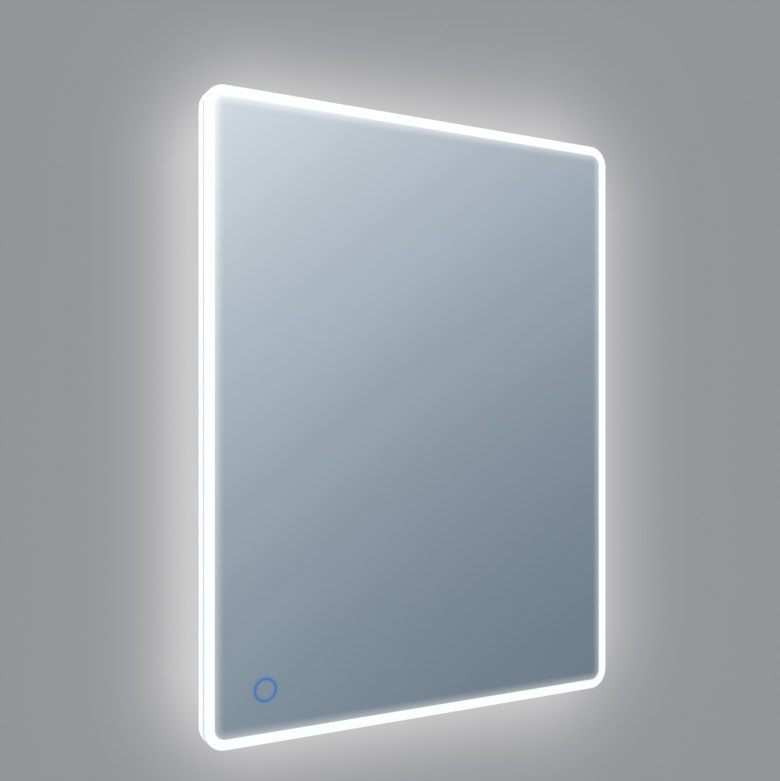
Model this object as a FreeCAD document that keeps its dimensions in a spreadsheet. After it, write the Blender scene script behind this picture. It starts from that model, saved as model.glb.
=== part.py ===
"""Lighted bathroom mirror, wall hung, in millimetres.

X runs to the right seen from the front, Y towards the wall and Z up. The origin is the middle of the
back cover's raised panel, in the plane of the wall, so the glass faces -Y. "Inset" always means the
distance from the glass's edge towards its middle.
"""

import FreeCAD, Part
import math
import os

import Sketcher

Vector = FreeCAD.Vector
doc = FreeCAD.newDocument("lighted_mirror")

# ---------------------------------------------------------------------------------------------------
# Driving dimensions
# ---------------------------------------------------------------------------------------------------

SIZES = [
    ("mirror_width", 500, "glass, side to side"),
    ("mirror_height", 650, "glass, bottom to top"),
    ("overall_depth", 38, "wall to the front of the glass"),
    ("corner_radius", 22, "glass and diffuser, outer corner"),
    ("glass_thickness", 5, "silvered float glass"),
    ("glass_arris", 0.6, "ground edge of the glass"),
    ("frosted_band", 10.5, "width of the lit band"),
    ("film_thickness", 0.3, "safety film on the silvering"),
    ("film_window_radius", 17, "opening in the film for the switch"),
    ("tape_thickness", 1, "foam tape between film and frame"),
    ("tape_margin", 0.5, "tape inside the flange it lies on"),
    ("bond_line", 0.5, "clear bond between glass and diffuser"),
    ("diffuser_depth", 12.5, "opal channel, front to rear"),
    ("diffuser_wall", 2, "opal channel, outer wall"),
    ("diffuser_front_web", 1.8, "opal channel, web behind the glass"),
    ("diffuser_rear_web", 2.4, "opal channel, web on the ledge"),
    ("diffuser_arris", 0.6, "outer rear edge of the opal channel"),
    ("web_gap", 2, "webs end this far from the frame's wall"),
    ("groove_depth", 1.4, "groove in the rear web"),
    ("groove_gap", 0.2, "lip to groove, each side"),
    ("ledge_glue", 0.2, "diffuser to ledge"),
    ("wall_to_arc", 4, "frame's wall inside the centre line of the corner arcs"),
    ("profile_wall", 1.6, "extrusion wall"),
    ("ledge_width", 9, "ledge outside the wall"),
    ("lip_height", 1.1, "lip on the ledge"),
    ("lip_thickness", 1.4, "lip on the ledge"),
    ("flange_reach", 12.4, "flanges inside the wall"),
    ("key_slot", 1.8, "slot for the corner keys"),
    ("hook_thickness", 1.2, "hooks that close the slot"),
    ("hook_height", 1.5, "hooks that close the slot"),
    ("hook_to_rail", 1.6, "hooks to the thick strip"),
    ("rail_width", 4.8, "thick strip for the cover's screws"),
    ("rail_depth", 2.4, "thick strip for the cover's screws"),
    ("mitre_gap", 0.1, "open joint at each mitre, per piece"),
    ("mitre_over", 5, "how far a mitre cut runs past the section"),
    ("drill_over", 1, "how far a hole runs past the wall that it pierces"),
    ("key_thickness", 1.5, "corner key, steel strip"),
    ("key_side_gap", 0.2, "corner key in its slot, each edge"),
    ("key_leg", 38, "corner key, each leg"),
    ("key_bend", 2.5, "corner key, outer bend radius"),
    ("gasket_thickness", 0.8, "foam gasket under the cover"),
    ("gasket_width", 5, "foam gasket under the cover, outside the screws"),
    ("gasket_margin", 0.6, "gasket inside the cover's edge"),
    ("cover_thickness", 1, "cover, sheet steel"),
    ("cover_margin", 0.6, "cover's edge inside the frame's wall"),
    ("cover_corner_radius", 3, "cover, outer corner"),
    ("panel_raise", 2.2, "raised panel, above the cover's flange"),
    ("panel_inset", 35, "foot of the raised panel"),
    ("panel_corner_radius", 14, "foot of the raised panel"),
    ("press_draft", 45, "slope of every pressed wall, in degrees"),
    ("slot_end_ratio", 1.0005, "half width over end radius, so that short sides keep a length"),
    ("cover_screw_radius", 1.45, "cover screw, shank"),
    ("cover_screw_length", 6, "cover screw, below the head"),
    ("cover_screw_head_radius", 2.9, "cover screw, pan head"),
    ("cover_screw_head_height", 1.7, "cover screw, pan head"),
    ("screw_gap", 0.15, "clearance hole round a shank"),
    ("pilot_gap", 0.05, "pilot hole round a shank"),
    ("side_screw_spacing", 240, "between the cover screws of a side"),
    ("end_screw_inset", 70, "cover screws of the top and bottom, from the glass's side edges"),
    ("keyhole_inset", 100, "keyholes, from the glass's side edges"),
    ("keyhole_drop", 72, "top of the glass to the keyhole's entry"),
    ("keyhole_entry_radius", 5, "entry for the wall screw's head"),
    ("keyhole_neck_radius", 2.5, "slot for the wall screw's shank"),
    ("keyhole_travel", 11, "entry to the top of the slot's arc centre"),
    ("recess_depth", 1.5, "pressed recess round a keyhole"),
    ("recess_width", 64, "pressed recess round a keyhole"),
    ("recess_height", 46, "pressed recess round a keyhole"),
    ("recess_radius", 5, "pressed recess, corner"),
    ("hanger_thickness", 2, "keyhole plate"),
    ("hanger_width", 56, "keyhole plate"),
    ("hanger_height", 38, "keyhole plate"),
    ("cup_flange_gap", 2, "cup's flange inside the edge of its keyhole plate"),
    ("cup_depth", 6, "room for a wall screw's head"),
    ("cup_wall", 1, "moulded cup behind a keyhole"),
    ("cup_width", 24, "moulded cup, outside"),
    ("cup_height", 32, "moulded cup, outside"),
    ("cup_radius", 4, "moulded cup, corner"),
    ("bead_width", 11, "stiffening bead"),
    ("bead_length", 250, "stiffening bead"),
    ("bead_depth", 1.3, "stiffening bead"),
    ("bead_spacing", 130, "between the stiffening beads"),
    ("bead_middle_height", 60, "middle of the beads above the mirror's middle"),
    ("strip_width", 8, "LED strip"),
    ("strip_thickness", 0.4, "LED strip"),
    ("strip_glue", 0.1, "LED strip to the frame's wall"),
    ("strip_end_inset", 24, "ends of each LED strip"),
    ("led_pitch", 33.3, "between LEDs"),
    ("led_length", 3.5, "LED package"),
    ("led_width", 2.8, "LED package"),
    ("led_height", 0.8, "LED package"),
    ("led_end_margin", 6, "first LED from the strip's end"),
    ("jumper_width", 6, "flat link round a corner"),
    ("jumper_gap", 0.4, "flat link to the strip's end"),
    ("switch_inset_side", 62.8, "switch ring from the glass's left edge"),
    ("switch_inset_bottom", 53.7, "switch ring from the glass's bottom edge"),
    ("ring_radius", 11, "switch ring, middle of its stroke"),
    ("light_guide_width", 4, "light guide behind the ring"),
    ("light_guide_depth", 2, "light guide behind the ring"),
    ("sensor_width", 46, "switch housing"),
    ("sensor_height", 34, "switch housing"),
    ("sensor_depth", 8, "switch housing"),
    ("sensor_wall", 1.5, "switch housing"),
    ("sensor_radius", 4, "switch housing, corner"),
    ("board_thickness", 1.2, "printed boards"),
    ("board_gap", 0.4, "printed board in its housing"),
    ("board_lift", 3, "power supply's board above the floor of its housing"),
    ("transformer_side", 6, "transformer, from the board's middle"),
    ("transformer_length", 26, "transformer, side to side"),
    ("transformer_width", 24, "transformer, bottom to top"),
    ("choke_side", 30, "choke, from the board's middle"),
    ("choke_rise", 6.3, "choke, above the board's middle"),
    ("choke_radius", 7, "choke"),
    ("capacitor_side", 50, "capacitor, from the board's middle"),
    ("capacitor_radius", 8, "capacitor"),
    ("chip_width", 6, "touch chip, each side"),
    ("chip_height", 1, "touch chip"),
    ("tall_part", 11.5, "tallest parts on the board"),
    ("short_part", 8, "lower parts on the board"),
    ("demister_width", 260, "heating foil"),
    ("demister_height", 300, "heating foil"),
    ("demister_thickness", 0.4, "heating foil"),
    ("demister_radius", 12, "heating foil, corner"),
    ("demister_lift", 60, "middle of the foil above the mirror's middle"),
    ("demister_tab_side", 80, "foil's connection tab, from the mirror's middle"),
    ("demister_tab_width", 26, "foil's connection tab"),
    ("demister_tab_height", 18, "foil's connection tab"),
    ("demister_tab_depth", 4.2, "foil's connection tab"),
    ("driver_length", 150, "power supply housing"),
    ("driver_width", 44, "power supply housing"),
    ("driver_depth", 21, "power supply housing with its lid"),
    ("driver_wall", 1.8, "power supply housing"),
    ("driver_radius", 4, "power supply housing, corner"),
    ("driver_to_switch", 44.2, "power supply to the switch housing"),
    ("driver_rise", 63, "power supply's middle, from the glass's bottom edge"),
    ("lid_thickness", 1.6, "power supply lid"),
    ("lid_lip", 3, "power supply lid, lip inside the walls"),
    ("lid_lip_wall", 2.5, "power supply lid, lip"),
    ("lid_gap", 0.15, "lip inside the walls"),
    ("vent_width", 2, "slots in the lid"),
    ("vent_length", 24, "slots in the lid"),
    ("vent_pitch", 7, "slots in the lid"),
    ("vent_run", 75, "length of the row of slots"),
    ("junction_width", 24, "junction box, side to side"),
    ("junction_height", 38, "junction box, bottom to top"),
    ("junction_depth", 18, "junction box with its lid"),
    ("junction_rise", 89, "junction box's middle, from the glass's bottom edge"),
    ("mains_lead_length", 60, "lead from the power supply to the junction box"),
    ("mains_lead_rise", 77, "that lead, from the glass's bottom edge"),
    ("grommet_inset", 64, "cable entry, from the glass's right edge"),
    ("grommet_rise", 165, "cable entry, from the glass's bottom edge"),
    ("grommet_bore", 5, "cable entry, bore radius"),
    ("grommet_neck", 7, "cable entry, radius in the cover's hole"),
    ("grommet_flange", 9.5, "cable entry, flange radius"),
    ("grommet_lip", 2, "cable entry, flange thickness inside"),
    ("grommet_gap", 0.1, "neck to the cover's hole"),
    ("lead_radius", 1.5, "sheathed two-core lead"),
    ("mains_lead_radius", 2.2, "sheathed lead, junction box to power supply"),
    ("feed_lead_radius", 1.2, "sheathed lead, switch to the LED strips"),
    ("feed_hole_gap", 0.4, "hole round that lead in the frame's wall"),
    ("feed_lead_drop", 6, "that lead below the switch's middle"),
    ("feed_reach", 25, "that lead from the switch to its bend"),
    ("lead_height", 11, "leads of the junction box above the cover"),
    ("led_lead_height", 18, "power supply's other lead above the cover"),
    ("lead_to_wall", 0.4, "leads of the switch to the back of its housing"),
    ("bow_side", 4, "bow of the heating foil's lead, to the left"),
    ("bow_depth", 5, "bow of the heating foil's lead, to the room"),
    ("lead_end_gap", 0.35, "end of a slanting lead from its box"),
    ("tab_end_gap", 0.8, "end of the heating foil's lead from its tab"),
]


def fill_sheet():
    """One row per size: its alias, its value and a note."""
    sheet = doc.addObject("Spreadsheet::Sheet", "sizes")
    for row, (alias, value, note) in enumerate(SIZES, start=1):
        sheet.set(f"A{row}", alias)
        sheet.set(f"B{row}", str(value))
        sheet.setAlias(f"B{row}", alias)
        sheet.set(f"C{row}", note)
    return sheet


sizes = fill_sheet()
doc.recompute()

# ---------------------------------------------------------------------------------------------------
# Places worked out from the driving dimensions, each written once
# ---------------------------------------------------------------------------------------------------

# Depths, from the glass back to the wall
DEPTHS = [
    ("front_face", "-sizes.overall_depth"),
    ("glass_back", "front_face + sizes.glass_thickness"),
    ("film_back", "glass_back + sizes.film_thickness"),
    ("flange_front", "film_back + sizes.tape_thickness"),
    ("flange_back", "flange_front + sizes.profile_wall"),
    ("diffuser_front", "glass_back + sizes.bond_line"),
    ("channel_front", "diffuser_front + sizes.diffuser_front_web"),
    ("diffuser_rear", "diffuser_front + sizes.diffuser_depth"),
    ("channel_rear", "diffuser_rear - sizes.diffuser_rear_web"),
    ("channel_depth", "channel_rear - channel_front"),
    ("channel_middle", "(channel_front + channel_rear) / 2"),
    ("ledge_front", "diffuser_rear + sizes.ledge_glue"),
    ("ledge_rear", "ledge_front + sizes.profile_wall"),
    ("lip_front", "ledge_front - sizes.lip_height"),
    ("flange_rear", "-sizes.panel_raise"),
    ("cover_front", "flange_rear - sizes.cover_thickness"),
    ("gasket_front", "cover_front - sizes.gasket_thickness"),
    ("rear_flange_front", "gasket_front - sizes.profile_wall"),
    ("rail_front", "rear_flange_front - sizes.rail_depth"),
    ("front_hook_end", "ledge_rear + sizes.hook_height"),
    ("rear_hook_end", "rear_flange_front - sizes.hook_height"),
    ("key_front", "ledge_rear + sizes.key_side_gap"),
    ("key_width", "rear_flange_front - ledge_rear - 2 * sizes.key_side_gap"),
    ("panel_front", "-sizes.cover_thickness"),
    ("recess_floor", "-sizes.recess_depth"),
    ("recess_inside", "recess_floor - sizes.cover_thickness"),
    ("hanger_front", "recess_inside - sizes.hanger_thickness"),
    ("cup_flange_front", "hanger_front - sizes.cup_wall"),
    ("guide_front", "glass_back + sizes.strip_glue"),
    ("guide_back", "guide_front + sizes.light_guide_depth"),
    ("sensor_back", "film_back + sizes.sensor_depth"),
    ("driver_front", "panel_front - sizes.driver_depth"),
    ("lid_back", "driver_front + sizes.lid_thickness"),
    ("jumper_front", "channel_middle - sizes.jumper_width / 2"),
]

# Insets, from the glass's edge inwards, of the frame's section and what lines up with it
INSETS = [
    ("wall_out", "sizes.corner_radius - sizes.wall_to_arc"),
    ("wall_in", "wall_out + sizes.profile_wall"),
    ("ledge_edge", "wall_out - sizes.ledge_width"),
    ("lip_in", "ledge_edge + sizes.lip_thickness"),
    ("web_edge", "wall_out - sizes.web_gap"),
    ("hook_out", "wall_in + sizes.key_slot"),
    ("hook_in", "hook_out + sizes.hook_thickness"),
    ("flange_in", "wall_in + sizes.flange_reach"),
    ("screw_inset", "hook_in + sizes.hook_to_rail + sizes.rail_width / 2"),
    ("rail_out", "screw_inset - sizes.rail_width / 2"),
    ("rail_in", "screw_inset + sizes.rail_width / 2"),
    ("key_out", "wall_in + (sizes.key_slot - sizes.key_thickness) / 2"),
    ("key_in", "key_out + sizes.key_thickness"),
    ("key_end", "key_out + sizes.key_leg"),
    ("strip_back", "wall_out - sizes.strip_glue"),
    ("strip_face", "strip_back - sizes.strip_thickness"),
    ("led_face", "strip_face - sizes.led_height"),
    ("jumper_end", "sizes.strip_end_inset - sizes.jumper_gap"),
]

# Rounded rectangles round the mirror's middle: name, inset and corner radius
OUTLINES = [
    ("glass", "0", "sizes.corner_radius"),
    ("film", "sizes.frosted_band", "sizes.corner_radius - sizes.frosted_band"),
    ("channel", "sizes.diffuser_wall", "sizes.corner_radius - sizes.diffuser_wall"),
    ("web", "web_edge", "sizes.corner_radius - web_edge"),
    ("tape_outer", "wall_in + sizes.tape_margin", "0"),
    ("tape_inner", "flange_in - sizes.tape_margin", "0"),
    ("gasket_outer", "wall_out + sizes.cover_margin + sizes.gasket_margin", "0"),
    ("gasket_inner", "wall_out + sizes.cover_margin + sizes.gasket_margin + sizes.gasket_width", "0"),
    ("cover", "wall_out + sizes.cover_margin", "sizes.cover_corner_radius"),
    ("panel", "sizes.panel_inset", "sizes.panel_corner_radius"),
    ("hollow", "sizes.panel_inset + sizes.cover_thickness * tan(sizes.press_draft / 2)",
     "sizes.panel_corner_radius - sizes.cover_thickness * tan(sizes.press_draft / 2)"),
    ("groove_outer", "ledge_edge - sizes.groove_gap", "0"),
    ("groove_inner", "lip_in + sizes.groove_gap", "0"),
]

# Rounded rectangles round a point of their own: name, width, height and corner radius
BLOCKS = [
    ("recess", "sizes.recess_width", "sizes.recess_height", "sizes.recess_radius"),
    ("recess_bump", "sizes.recess_width + 2 * sizes.cover_thickness",
     "sizes.recess_height + 2 * sizes.cover_thickness",
     "sizes.recess_radius + sizes.cover_thickness"),
    ("hanger", "sizes.hanger_width", "sizes.hanger_height", "0"),
    ("cup_flange", "sizes.hanger_width - 2 * sizes.cup_flange_gap",
     "sizes.hanger_height - 2 * sizes.cup_flange_gap", "0"),
    ("cup", "sizes.cup_width", "sizes.cup_height", "sizes.cup_radius"),
    ("cup_hollow", "sizes.cup_width - 2 * sizes.cup_wall",
     "sizes.cup_height - 2 * sizes.cup_wall", "0"),
    ("bead", "sizes.bead_width", "sizes.bead_length", "sizes.bead_width / 2 / sizes.slot_end_ratio"),
    ("bead_bump", "sizes.bead_width + 2 * sizes.cover_thickness",
     "sizes.bead_length + 2 * sizes.cover_thickness",
     "sizes.bead_width / 2 / sizes.slot_end_ratio + sizes.cover_thickness"),
    ("sensor", "sizes.sensor_width", "sizes.sensor_height", "sizes.sensor_radius"),
    ("sensor_hollow", "sizes.sensor_width - 2 * sizes.sensor_wall",
     "sizes.sensor_height - 2 * sizes.sensor_wall", "0"),
    ("sensor_board", "sizes.sensor_width - 2 * (sizes.sensor_wall + sizes.board_gap)",
     "sizes.sensor_height - 2 * (sizes.sensor_wall + sizes.board_gap)", "0"),
    ("driver", "sizes.driver_length", "sizes.driver_width", "sizes.driver_radius"),
    ("driver_hollow", "sizes.driver_length - 2 * sizes.driver_wall",
     "sizes.driver_width - 2 * sizes.driver_wall", "0"),
    ("lid_lip_outer", "sizes.driver_length - 2 * (sizes.driver_wall + sizes.lid_gap)",
     "sizes.driver_width - 2 * (sizes.driver_wall + sizes.lid_gap)", "0"),
    ("lid_lip_inner",
     "sizes.driver_length - 2 * (sizes.driver_wall + sizes.lid_gap + sizes.lid_lip_wall)",
     "sizes.driver_width - 2 * (sizes.driver_wall + sizes.lid_gap + sizes.lid_lip_wall)", "0"),
    ("driver_board", "sizes.driver_length - 2 * (sizes.driver_wall + sizes.board_gap)",
     "sizes.driver_width - 2 * (sizes.driver_wall + sizes.board_gap)", "0"),
    ("transformer", "sizes.transformer_length", "sizes.transformer_width", "0"),
    ("chip", "sizes.chip_width", "sizes.chip_width", "0"),
    ("vent", "sizes.vent_width", "sizes.vent_length", "0"),
    ("demister", "sizes.demister_width", "sizes.demister_height", "sizes.demister_radius"),
    ("demister_tab", "sizes.demister_tab_width", "sizes.demister_tab_height", "0"),
    ("junction", "sizes.junction_width", "sizes.junction_height", "0"),
    ("neck", "2 * sizes.keyhole_neck_radius",
     "sizes.keyhole_travel + 2 * sizes.keyhole_neck_radius",
     "sizes.keyhole_neck_radius / sizes.slot_end_ratio"),
]

# Centres and spacings of holes, screws and fitted pieces
SPOTS = [
    ("right_edge", "sizes.mirror_width / 2"),
    ("top_edge", "sizes.mirror_height / 2"),
    ("switch_x", "sizes.switch_inset_side - right_edge"),
    ("switch_z", "sizes.switch_inset_bottom - top_edge"),
    ("ring_outer", "sizes.ring_radius + sizes.light_guide_width / 2"),
    ("ring_inner", "sizes.ring_radius - sizes.light_guide_width / 2"),
    ("side_screw_x", "right_edge - screw_inset"),
    ("end_screw_z", "top_edge - screw_inset"),
    ("side_screw_far", "sizes.side_screw_spacing / 2"),
    ("end_screw_far", "right_edge - sizes.end_screw_inset"),
    ("mitre_reach", "flange_in + sizes.mitre_over"),
    ("side_mitre_out", "top_edge - sizes.mitre_gap"),
    ("side_mitre_in", "side_mitre_out - mitre_reach"),
    ("side_beyond", "top_edge + sizes.mitre_over"),
    ("end_mitre_out", "right_edge - sizes.mitre_gap"),
    ("end_mitre_in", "end_mitre_out - mitre_reach"),
    ("end_beyond", "right_edge + sizes.mitre_over"),
    ("screw_hole", "sizes.cover_screw_radius + sizes.screw_gap"),
    ("pilot_hole", "sizes.cover_screw_radius + sizes.pilot_gap"),
    ("key_inner_bend", "sizes.key_bend - sizes.key_thickness"),
    ("keyhole_x", "right_edge - sizes.keyhole_inset"),
    ("bead_x", "sizes.bead_spacing / 2"),
    ("keyhole_z", "top_edge - sizes.keyhole_drop"),
    ("keyhole_middle", "keyhole_z + sizes.keyhole_travel / 2"),
    ("strip_front", "channel_middle - sizes.strip_width / 2"),
    ("strip_rear", "channel_middle + sizes.strip_width / 2"),
    ("led_front", "channel_middle - sizes.led_width / 2"),
    ("led_rear", "channel_middle + sizes.led_width / 2"),
    ("led_half_length", "sizes.led_length / 2"),
    ("side_strip_half", "top_edge - sizes.strip_end_inset"),
    ("end_strip_half", "right_edge - sizes.strip_end_inset"),
    ("side_led_count",
     "floor(2 * (side_strip_half - sizes.led_end_margin) / sizes.led_pitch) + 1"),
    ("end_led_count",
     "floor(2 * (end_strip_half - sizes.led_end_margin) / sizes.led_pitch) + 1"),
    ("side_led_first", "-(side_led_count - 1) * sizes.led_pitch / 2"),
    ("end_led_first", "-(end_led_count - 1) * sizes.led_pitch / 2"),
    ("grommet_hole", "sizes.grommet_neck + sizes.grommet_gap"),
    ("grommet_x", "right_edge - sizes.grommet_inset"),
    ("grommet_z", "sizes.grommet_rise - top_edge"),
    ("grommet_nose", "panel_front - sizes.grommet_lip"),
    ("driver_left", "switch_x + sizes.sensor_width / 2 + sizes.driver_to_switch"),
    ("driver_x", "driver_left + sizes.driver_length / 2"),
    ("driver_right", "driver_left + sizes.driver_length"),
    ("driver_z", "sizes.driver_rise - top_edge"),
    ("driver_room_depth", "sizes.driver_depth - sizes.lid_thickness - sizes.driver_wall"),
    ("box_lead_height", "panel_front - sizes.lead_height"),
    ("driver_lead_height", "panel_front - sizes.led_lead_height"),
    ("board_back", "panel_front - sizes.driver_wall - sizes.board_lift"),
    ("board_front", "board_back - sizes.board_thickness"),
    ("vent_count", "floor(sizes.vent_run / sizes.vent_pitch)"),
    ("vent_first", "-(vent_count - 1) * sizes.vent_pitch / 2"),
    ("junction_x", "driver_right + sizes.mains_lead_length + sizes.junction_width / 2"),
    ("junction_z", "sizes.junction_rise - top_edge"),
    ("mains_lead_z", "sizes.mains_lead_rise - top_edge"),
    ("junction_front", "panel_front - sizes.junction_depth"),
    ("junction_body_depth", "sizes.junction_depth - sizes.lid_thickness"),
    ("demister_bottom", "sizes.demister_lift - sizes.demister_height / 2"),
    ("demister_lead_height", "film_back + sizes.demister_tab_depth / 2"),
    ("feed_hole", "sizes.feed_lead_radius + sizes.feed_hole_gap"),
    ("sensor_board_back", "guide_back + sizes.board_thickness"),
    ("sensor_lead_height", "sensor_back - sizes.sensor_wall - sizes.lead_radius - sizes.lead_to_wall"),
    ("feed_x", "switch_x + sizes.sensor_width / 2 + sizes.feed_reach"),
]


def fill_places():
    """A set of named places, each bound to the sizes or to places named before it."""
    found = doc.addObject("App::VarSet", "places")

    def add(name, rule):
        found.addProperty("App::PropertyFloat", name)
        found.setExpression(name, rule)

    for name, rule in DEPTHS + INSETS + SPOTS[:2]:
        add(name, rule)
    for name, inset, radius in OUTLINES:
        add(name + "_x", f"right_edge - ({inset})")
        add(name + "_z", f"top_edge - ({inset})")
        add(name + "_r", radius)
    for name, width, height, radius in BLOCKS:
        add(name + "_half_x", f"({width}) / 2")
        add(name + "_half_z", f"({height}) / 2")
        add(name + "_half_r", radius)
    for name, rule in SPOTS[2:]:
        add(name, rule)
    doc.recompute()
    return found


places = fill_places()
PLACE_NAMES = set(places.PropertiesList)


def terms(text):
    """Splits a place such as "keyhole_z - keyhole_middle" or "-top_edge" into signed names."""
    sign = 1
    for word in text.split():
        if word in ("+", "-"):
            sign = 1 if word == "+" else -1
        else:
            turned = word.startswith("-")
            yield (-sign if turned else sign), word.lstrip("-")
            sign = 1


def number(text):
    """The value of a size or place, or of a few of them added up."""
    total = 0.0
    for sign, name in terms(text):
        if name in PLACE_NAMES:
            total += sign * float(getattr(places, name))
        elif name != "0":
            total += sign * float(sizes.get(name))
    return total


def rule(text):
    """The expression that binds a property to a size or place, or to a few of them added up."""
    words = []
    for sign, name in terms(text):
        owner = "places." if name in PLACE_NAMES else "sizes."
        if name != "0":
            words.append(("+ " if sign > 0 else "- ") + owner + name)
    return "0 " + " ".join(words)


# ---------------------------------------------------------------------------------------------------
# Sketches
# ---------------------------------------------------------------------------------------------------

CUTS = []
SUBPARTS = []


def new_body(label):
    """A body that becomes one node."""
    body = doc.addObject("PartDesign::Body", label)
    body.Label = label
    SUBPARTS.append(body)
    return body


def new_sketch(body, plane, at=None):
    """An empty sketch on one of the body's own planes, set off along the plane's normal to a place."""
    sketch = body.newObject("Sketcher::SketchObject", body.Name + "_sketch")
    role = [item for item in body.Origin.OriginFeatures if item.Role == plane]
    sketch.AttachmentSupport = [(role[0], "")]
    sketch.MapMode = "FlatFace"
    if at is not None:
        turned = "-" if plane == "XZ_Plane" else ""
        sketch.setExpression("AttachmentOffset.Base.z", f"{turned}({rule(at)})")
    return sketch


def pin(sketch, element, point, across, up):
    """Ties one point of a sketch to two named places, measured from the sketch's origin."""
    for kind, name in (("DistanceX", across), ("DistanceY", up)):
        made = sketch.addConstraint(Sketcher.Constraint(kind, -1, 1, element, point, number(name)))
        if name != "0":
            sketch.setExpression(f"Constraints[{made}]", rule(name))


def flat_point(across, up):
    """The starting place of a pinned point."""
    return Vector(number(across), number(up), 0)


def add_polygon(sketch, corners):
    """A closed run of straight lines with each corner pinned."""
    first = sketch.GeometryCount
    spots = [flat_point(*corner) for corner in corners]
    count = len(corners)
    for n in range(count):
        sketch.addGeometry(Part.LineSegment(spots[n], spots[(n + 1) % count]))
    for n, corner in enumerate(corners):
        last = first + (n - 1) % count
        sketch.addConstraint(Sketcher.Constraint("Coincident", last, 2, first + n, 1))
        pin(sketch, first + n, 1, *corner)


def add_circle(sketch, across, up, radius):
    """A circle with a pinned centre."""
    made = sketch.addGeometry(
        Part.Circle(flat_point(across, up), Vector(0, 0, 1), number(radius))
    )
    pin(sketch, made, 3, across, up)
    size = sketch.addConstraint(Sketcher.Constraint("Radius", made, number(radius)))
    sketch.setExpression(f"Constraints[{size}]", rule(radius))


def add_rounded(sketch, half_x, half_z, radius, middle=("0", "0")):
    """A rounded rectangle round a pinned middle: four lines, four tangent arcs, no corner point."""
    a, b, r = number(half_x), number(half_z), number(radius)
    at = flat_point(*middle)
    first = sketch.GeometryCount
    turns = ((1, -1), (1, 1), (-1, 1), (-1, -1))
    lines = (
        ((-a + r, -b), (a - r, -b)),
        ((a, -b + r), (a, b - r)),
        ((a - r, b), (-a + r, b)),
        ((-a, b - r), (-a, -b + r)),
    )
    for start, end in lines:
        sketch.addGeometry(Part.LineSegment(at + Vector(*start, 0), at + Vector(*end, 0)))
    for n, (right, up) in enumerate(turns):
        centre = at + Vector(right * (a - r), up * (b - r), 0)
        round_corner = Part.Circle(centre, Vector(0, 0, 1), r)
        begin = -math.pi / 2 + n * math.pi / 2
        sketch.addGeometry(Part.ArcOfCircle(round_corner, begin, begin + math.pi / 2))
    for n in range(4):
        arc = first + 4 + n
        sketch.addConstraint(Sketcher.Constraint("Tangent", first + n, 2, arc, 1))
        sketch.addConstraint(Sketcher.Constraint("Tangent", arc, 2, first + (n + 1) % 4, 1))
        level = "Horizontal" if n % 2 == 0 else "Vertical"
        sketch.addConstraint(Sketcher.Constraint(level, first + n))
        size = sketch.addConstraint(Sketcher.Constraint("Radius", arc, r))
        sketch.setExpression(f"Constraints[{size}]", rule(radius))
    for kind, element, half, along in (
        ("DistanceY", 0, "-" + half_z, 1),
        ("DistanceX", 1, half_x, 0),
        ("DistanceY", 2, half_z, 1),
        ("DistanceX", 3, "-" + half_x, 0),
    ):
        place = f"{half} + {middle[along]}"
        made = sketch.addConstraint(
            Sketcher.Constraint(kind, -1, 1, first + element, 1, number(place))
        )
        sketch.setExpression(f"Constraints[{made}]", rule(place))


def add_sharp(sketch, half_x, half_z, middle=("0", "0")):
    """A rectangle with sharp corners round a middle."""
    left, right = f"{middle[0]} - {half_x}", f"{middle[0]} + {half_x}"
    low, high = f"{middle[1]} - {half_z}", f"{middle[1]} + {half_z}"
    add_polygon(sketch, [(left, low), (right, low), (right, high), (left, high)])


def outline(sketch, name):
    """One of OUTLINES in a sketch."""
    if number(name + "_r") > 0:
        add_rounded(sketch, name + "_x", name + "_z", name + "_r")
    else:
        add_sharp(sketch, name + "_x", name + "_z")


def block(sketch, name, middle=("0", "0")):
    """One of BLOCKS in a sketch."""
    if number(name + "_half_r") > 0:
        add_rounded(sketch, name + "_half_x", name + "_half_z", name + "_half_r", middle)
    else:
        add_sharp(sketch, name + "_half_x", name + "_half_z", middle)


# ---------------------------------------------------------------------------------------------------
# Features
# ---------------------------------------------------------------------------------------------------

# A sketch of the XZ plane looks at the room, one of the YZ plane inwards and one of the XY plane up
AHEAD = ("room", "inwards", "up")


def slope(feature):
    """Slopes a pressed wall outwards."""
    feature.setExpression("TaperAngle", "-sizes.press_draft")
    doc.recompute()


def grow(body, sketch, length, toward="wall"):
    """Pads a sketch one way."""
    pad = body.newObject("PartDesign::Pad", body.Name + "_pad")
    pad.Profile = sketch
    pad.setExpression("Length", rule(length))
    pad.Reversed = toward not in AHEAD
    doc.recompute()
    return pad


def grow_both_ways(body, sketch, half):
    """Pads a sketch by half its length to each side."""
    pad = body.newObject("PartDesign::Pad", body.Name + "_pad")
    pad.Profile = sketch
    pad.SideType = "Symmetric"
    pad.setExpression("Length", f"2 * ({rule(half)})")
    doc.recompute()
    return pad


def cut(body, sketch, length, toward="wall"):
    """Pockets a sketch one way."""
    pocket = body.newObject("PartDesign::Pocket", body.Name + "_pocket")
    pocket.Profile = sketch
    pocket.setExpression("Length", rule(length))
    pocket.Reversed = toward in AHEAD
    doc.recompute()
    CUTS.append(pocket)
    return pocket


def bore(body, sketch):
    """Cuts a sketch right through, both ways."""
    pocket = body.newObject("PartDesign::Pocket", body.Name + "_holes")
    pocket.Profile = sketch
    pocket.Type = "ThroughAll"
    pocket.SideType = "Symmetric"
    doc.recompute()
    CUTS.append(pocket)
    return pocket


def soften(body, kind, wanted, size):
    """A fillet or chamfer on the edges that a test picks out of the body as it stands."""
    doc.recompute()
    base = body.Tip
    picked = [f"Edge{n}" for n, edge in enumerate(base.Shape.Edges, start=1) if wanted(edge)]
    feature = body.newObject("PartDesign::" + kind, body.Name + "_" + kind.lower())
    feature.Base = (base, picked)
    feature.setExpression("Radius" if kind == "Fillet" else "Size", rule(size))
    doc.recompute()
    return feature


# Two places that differ by less than this are the same one
NEAR = 1e-3


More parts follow.
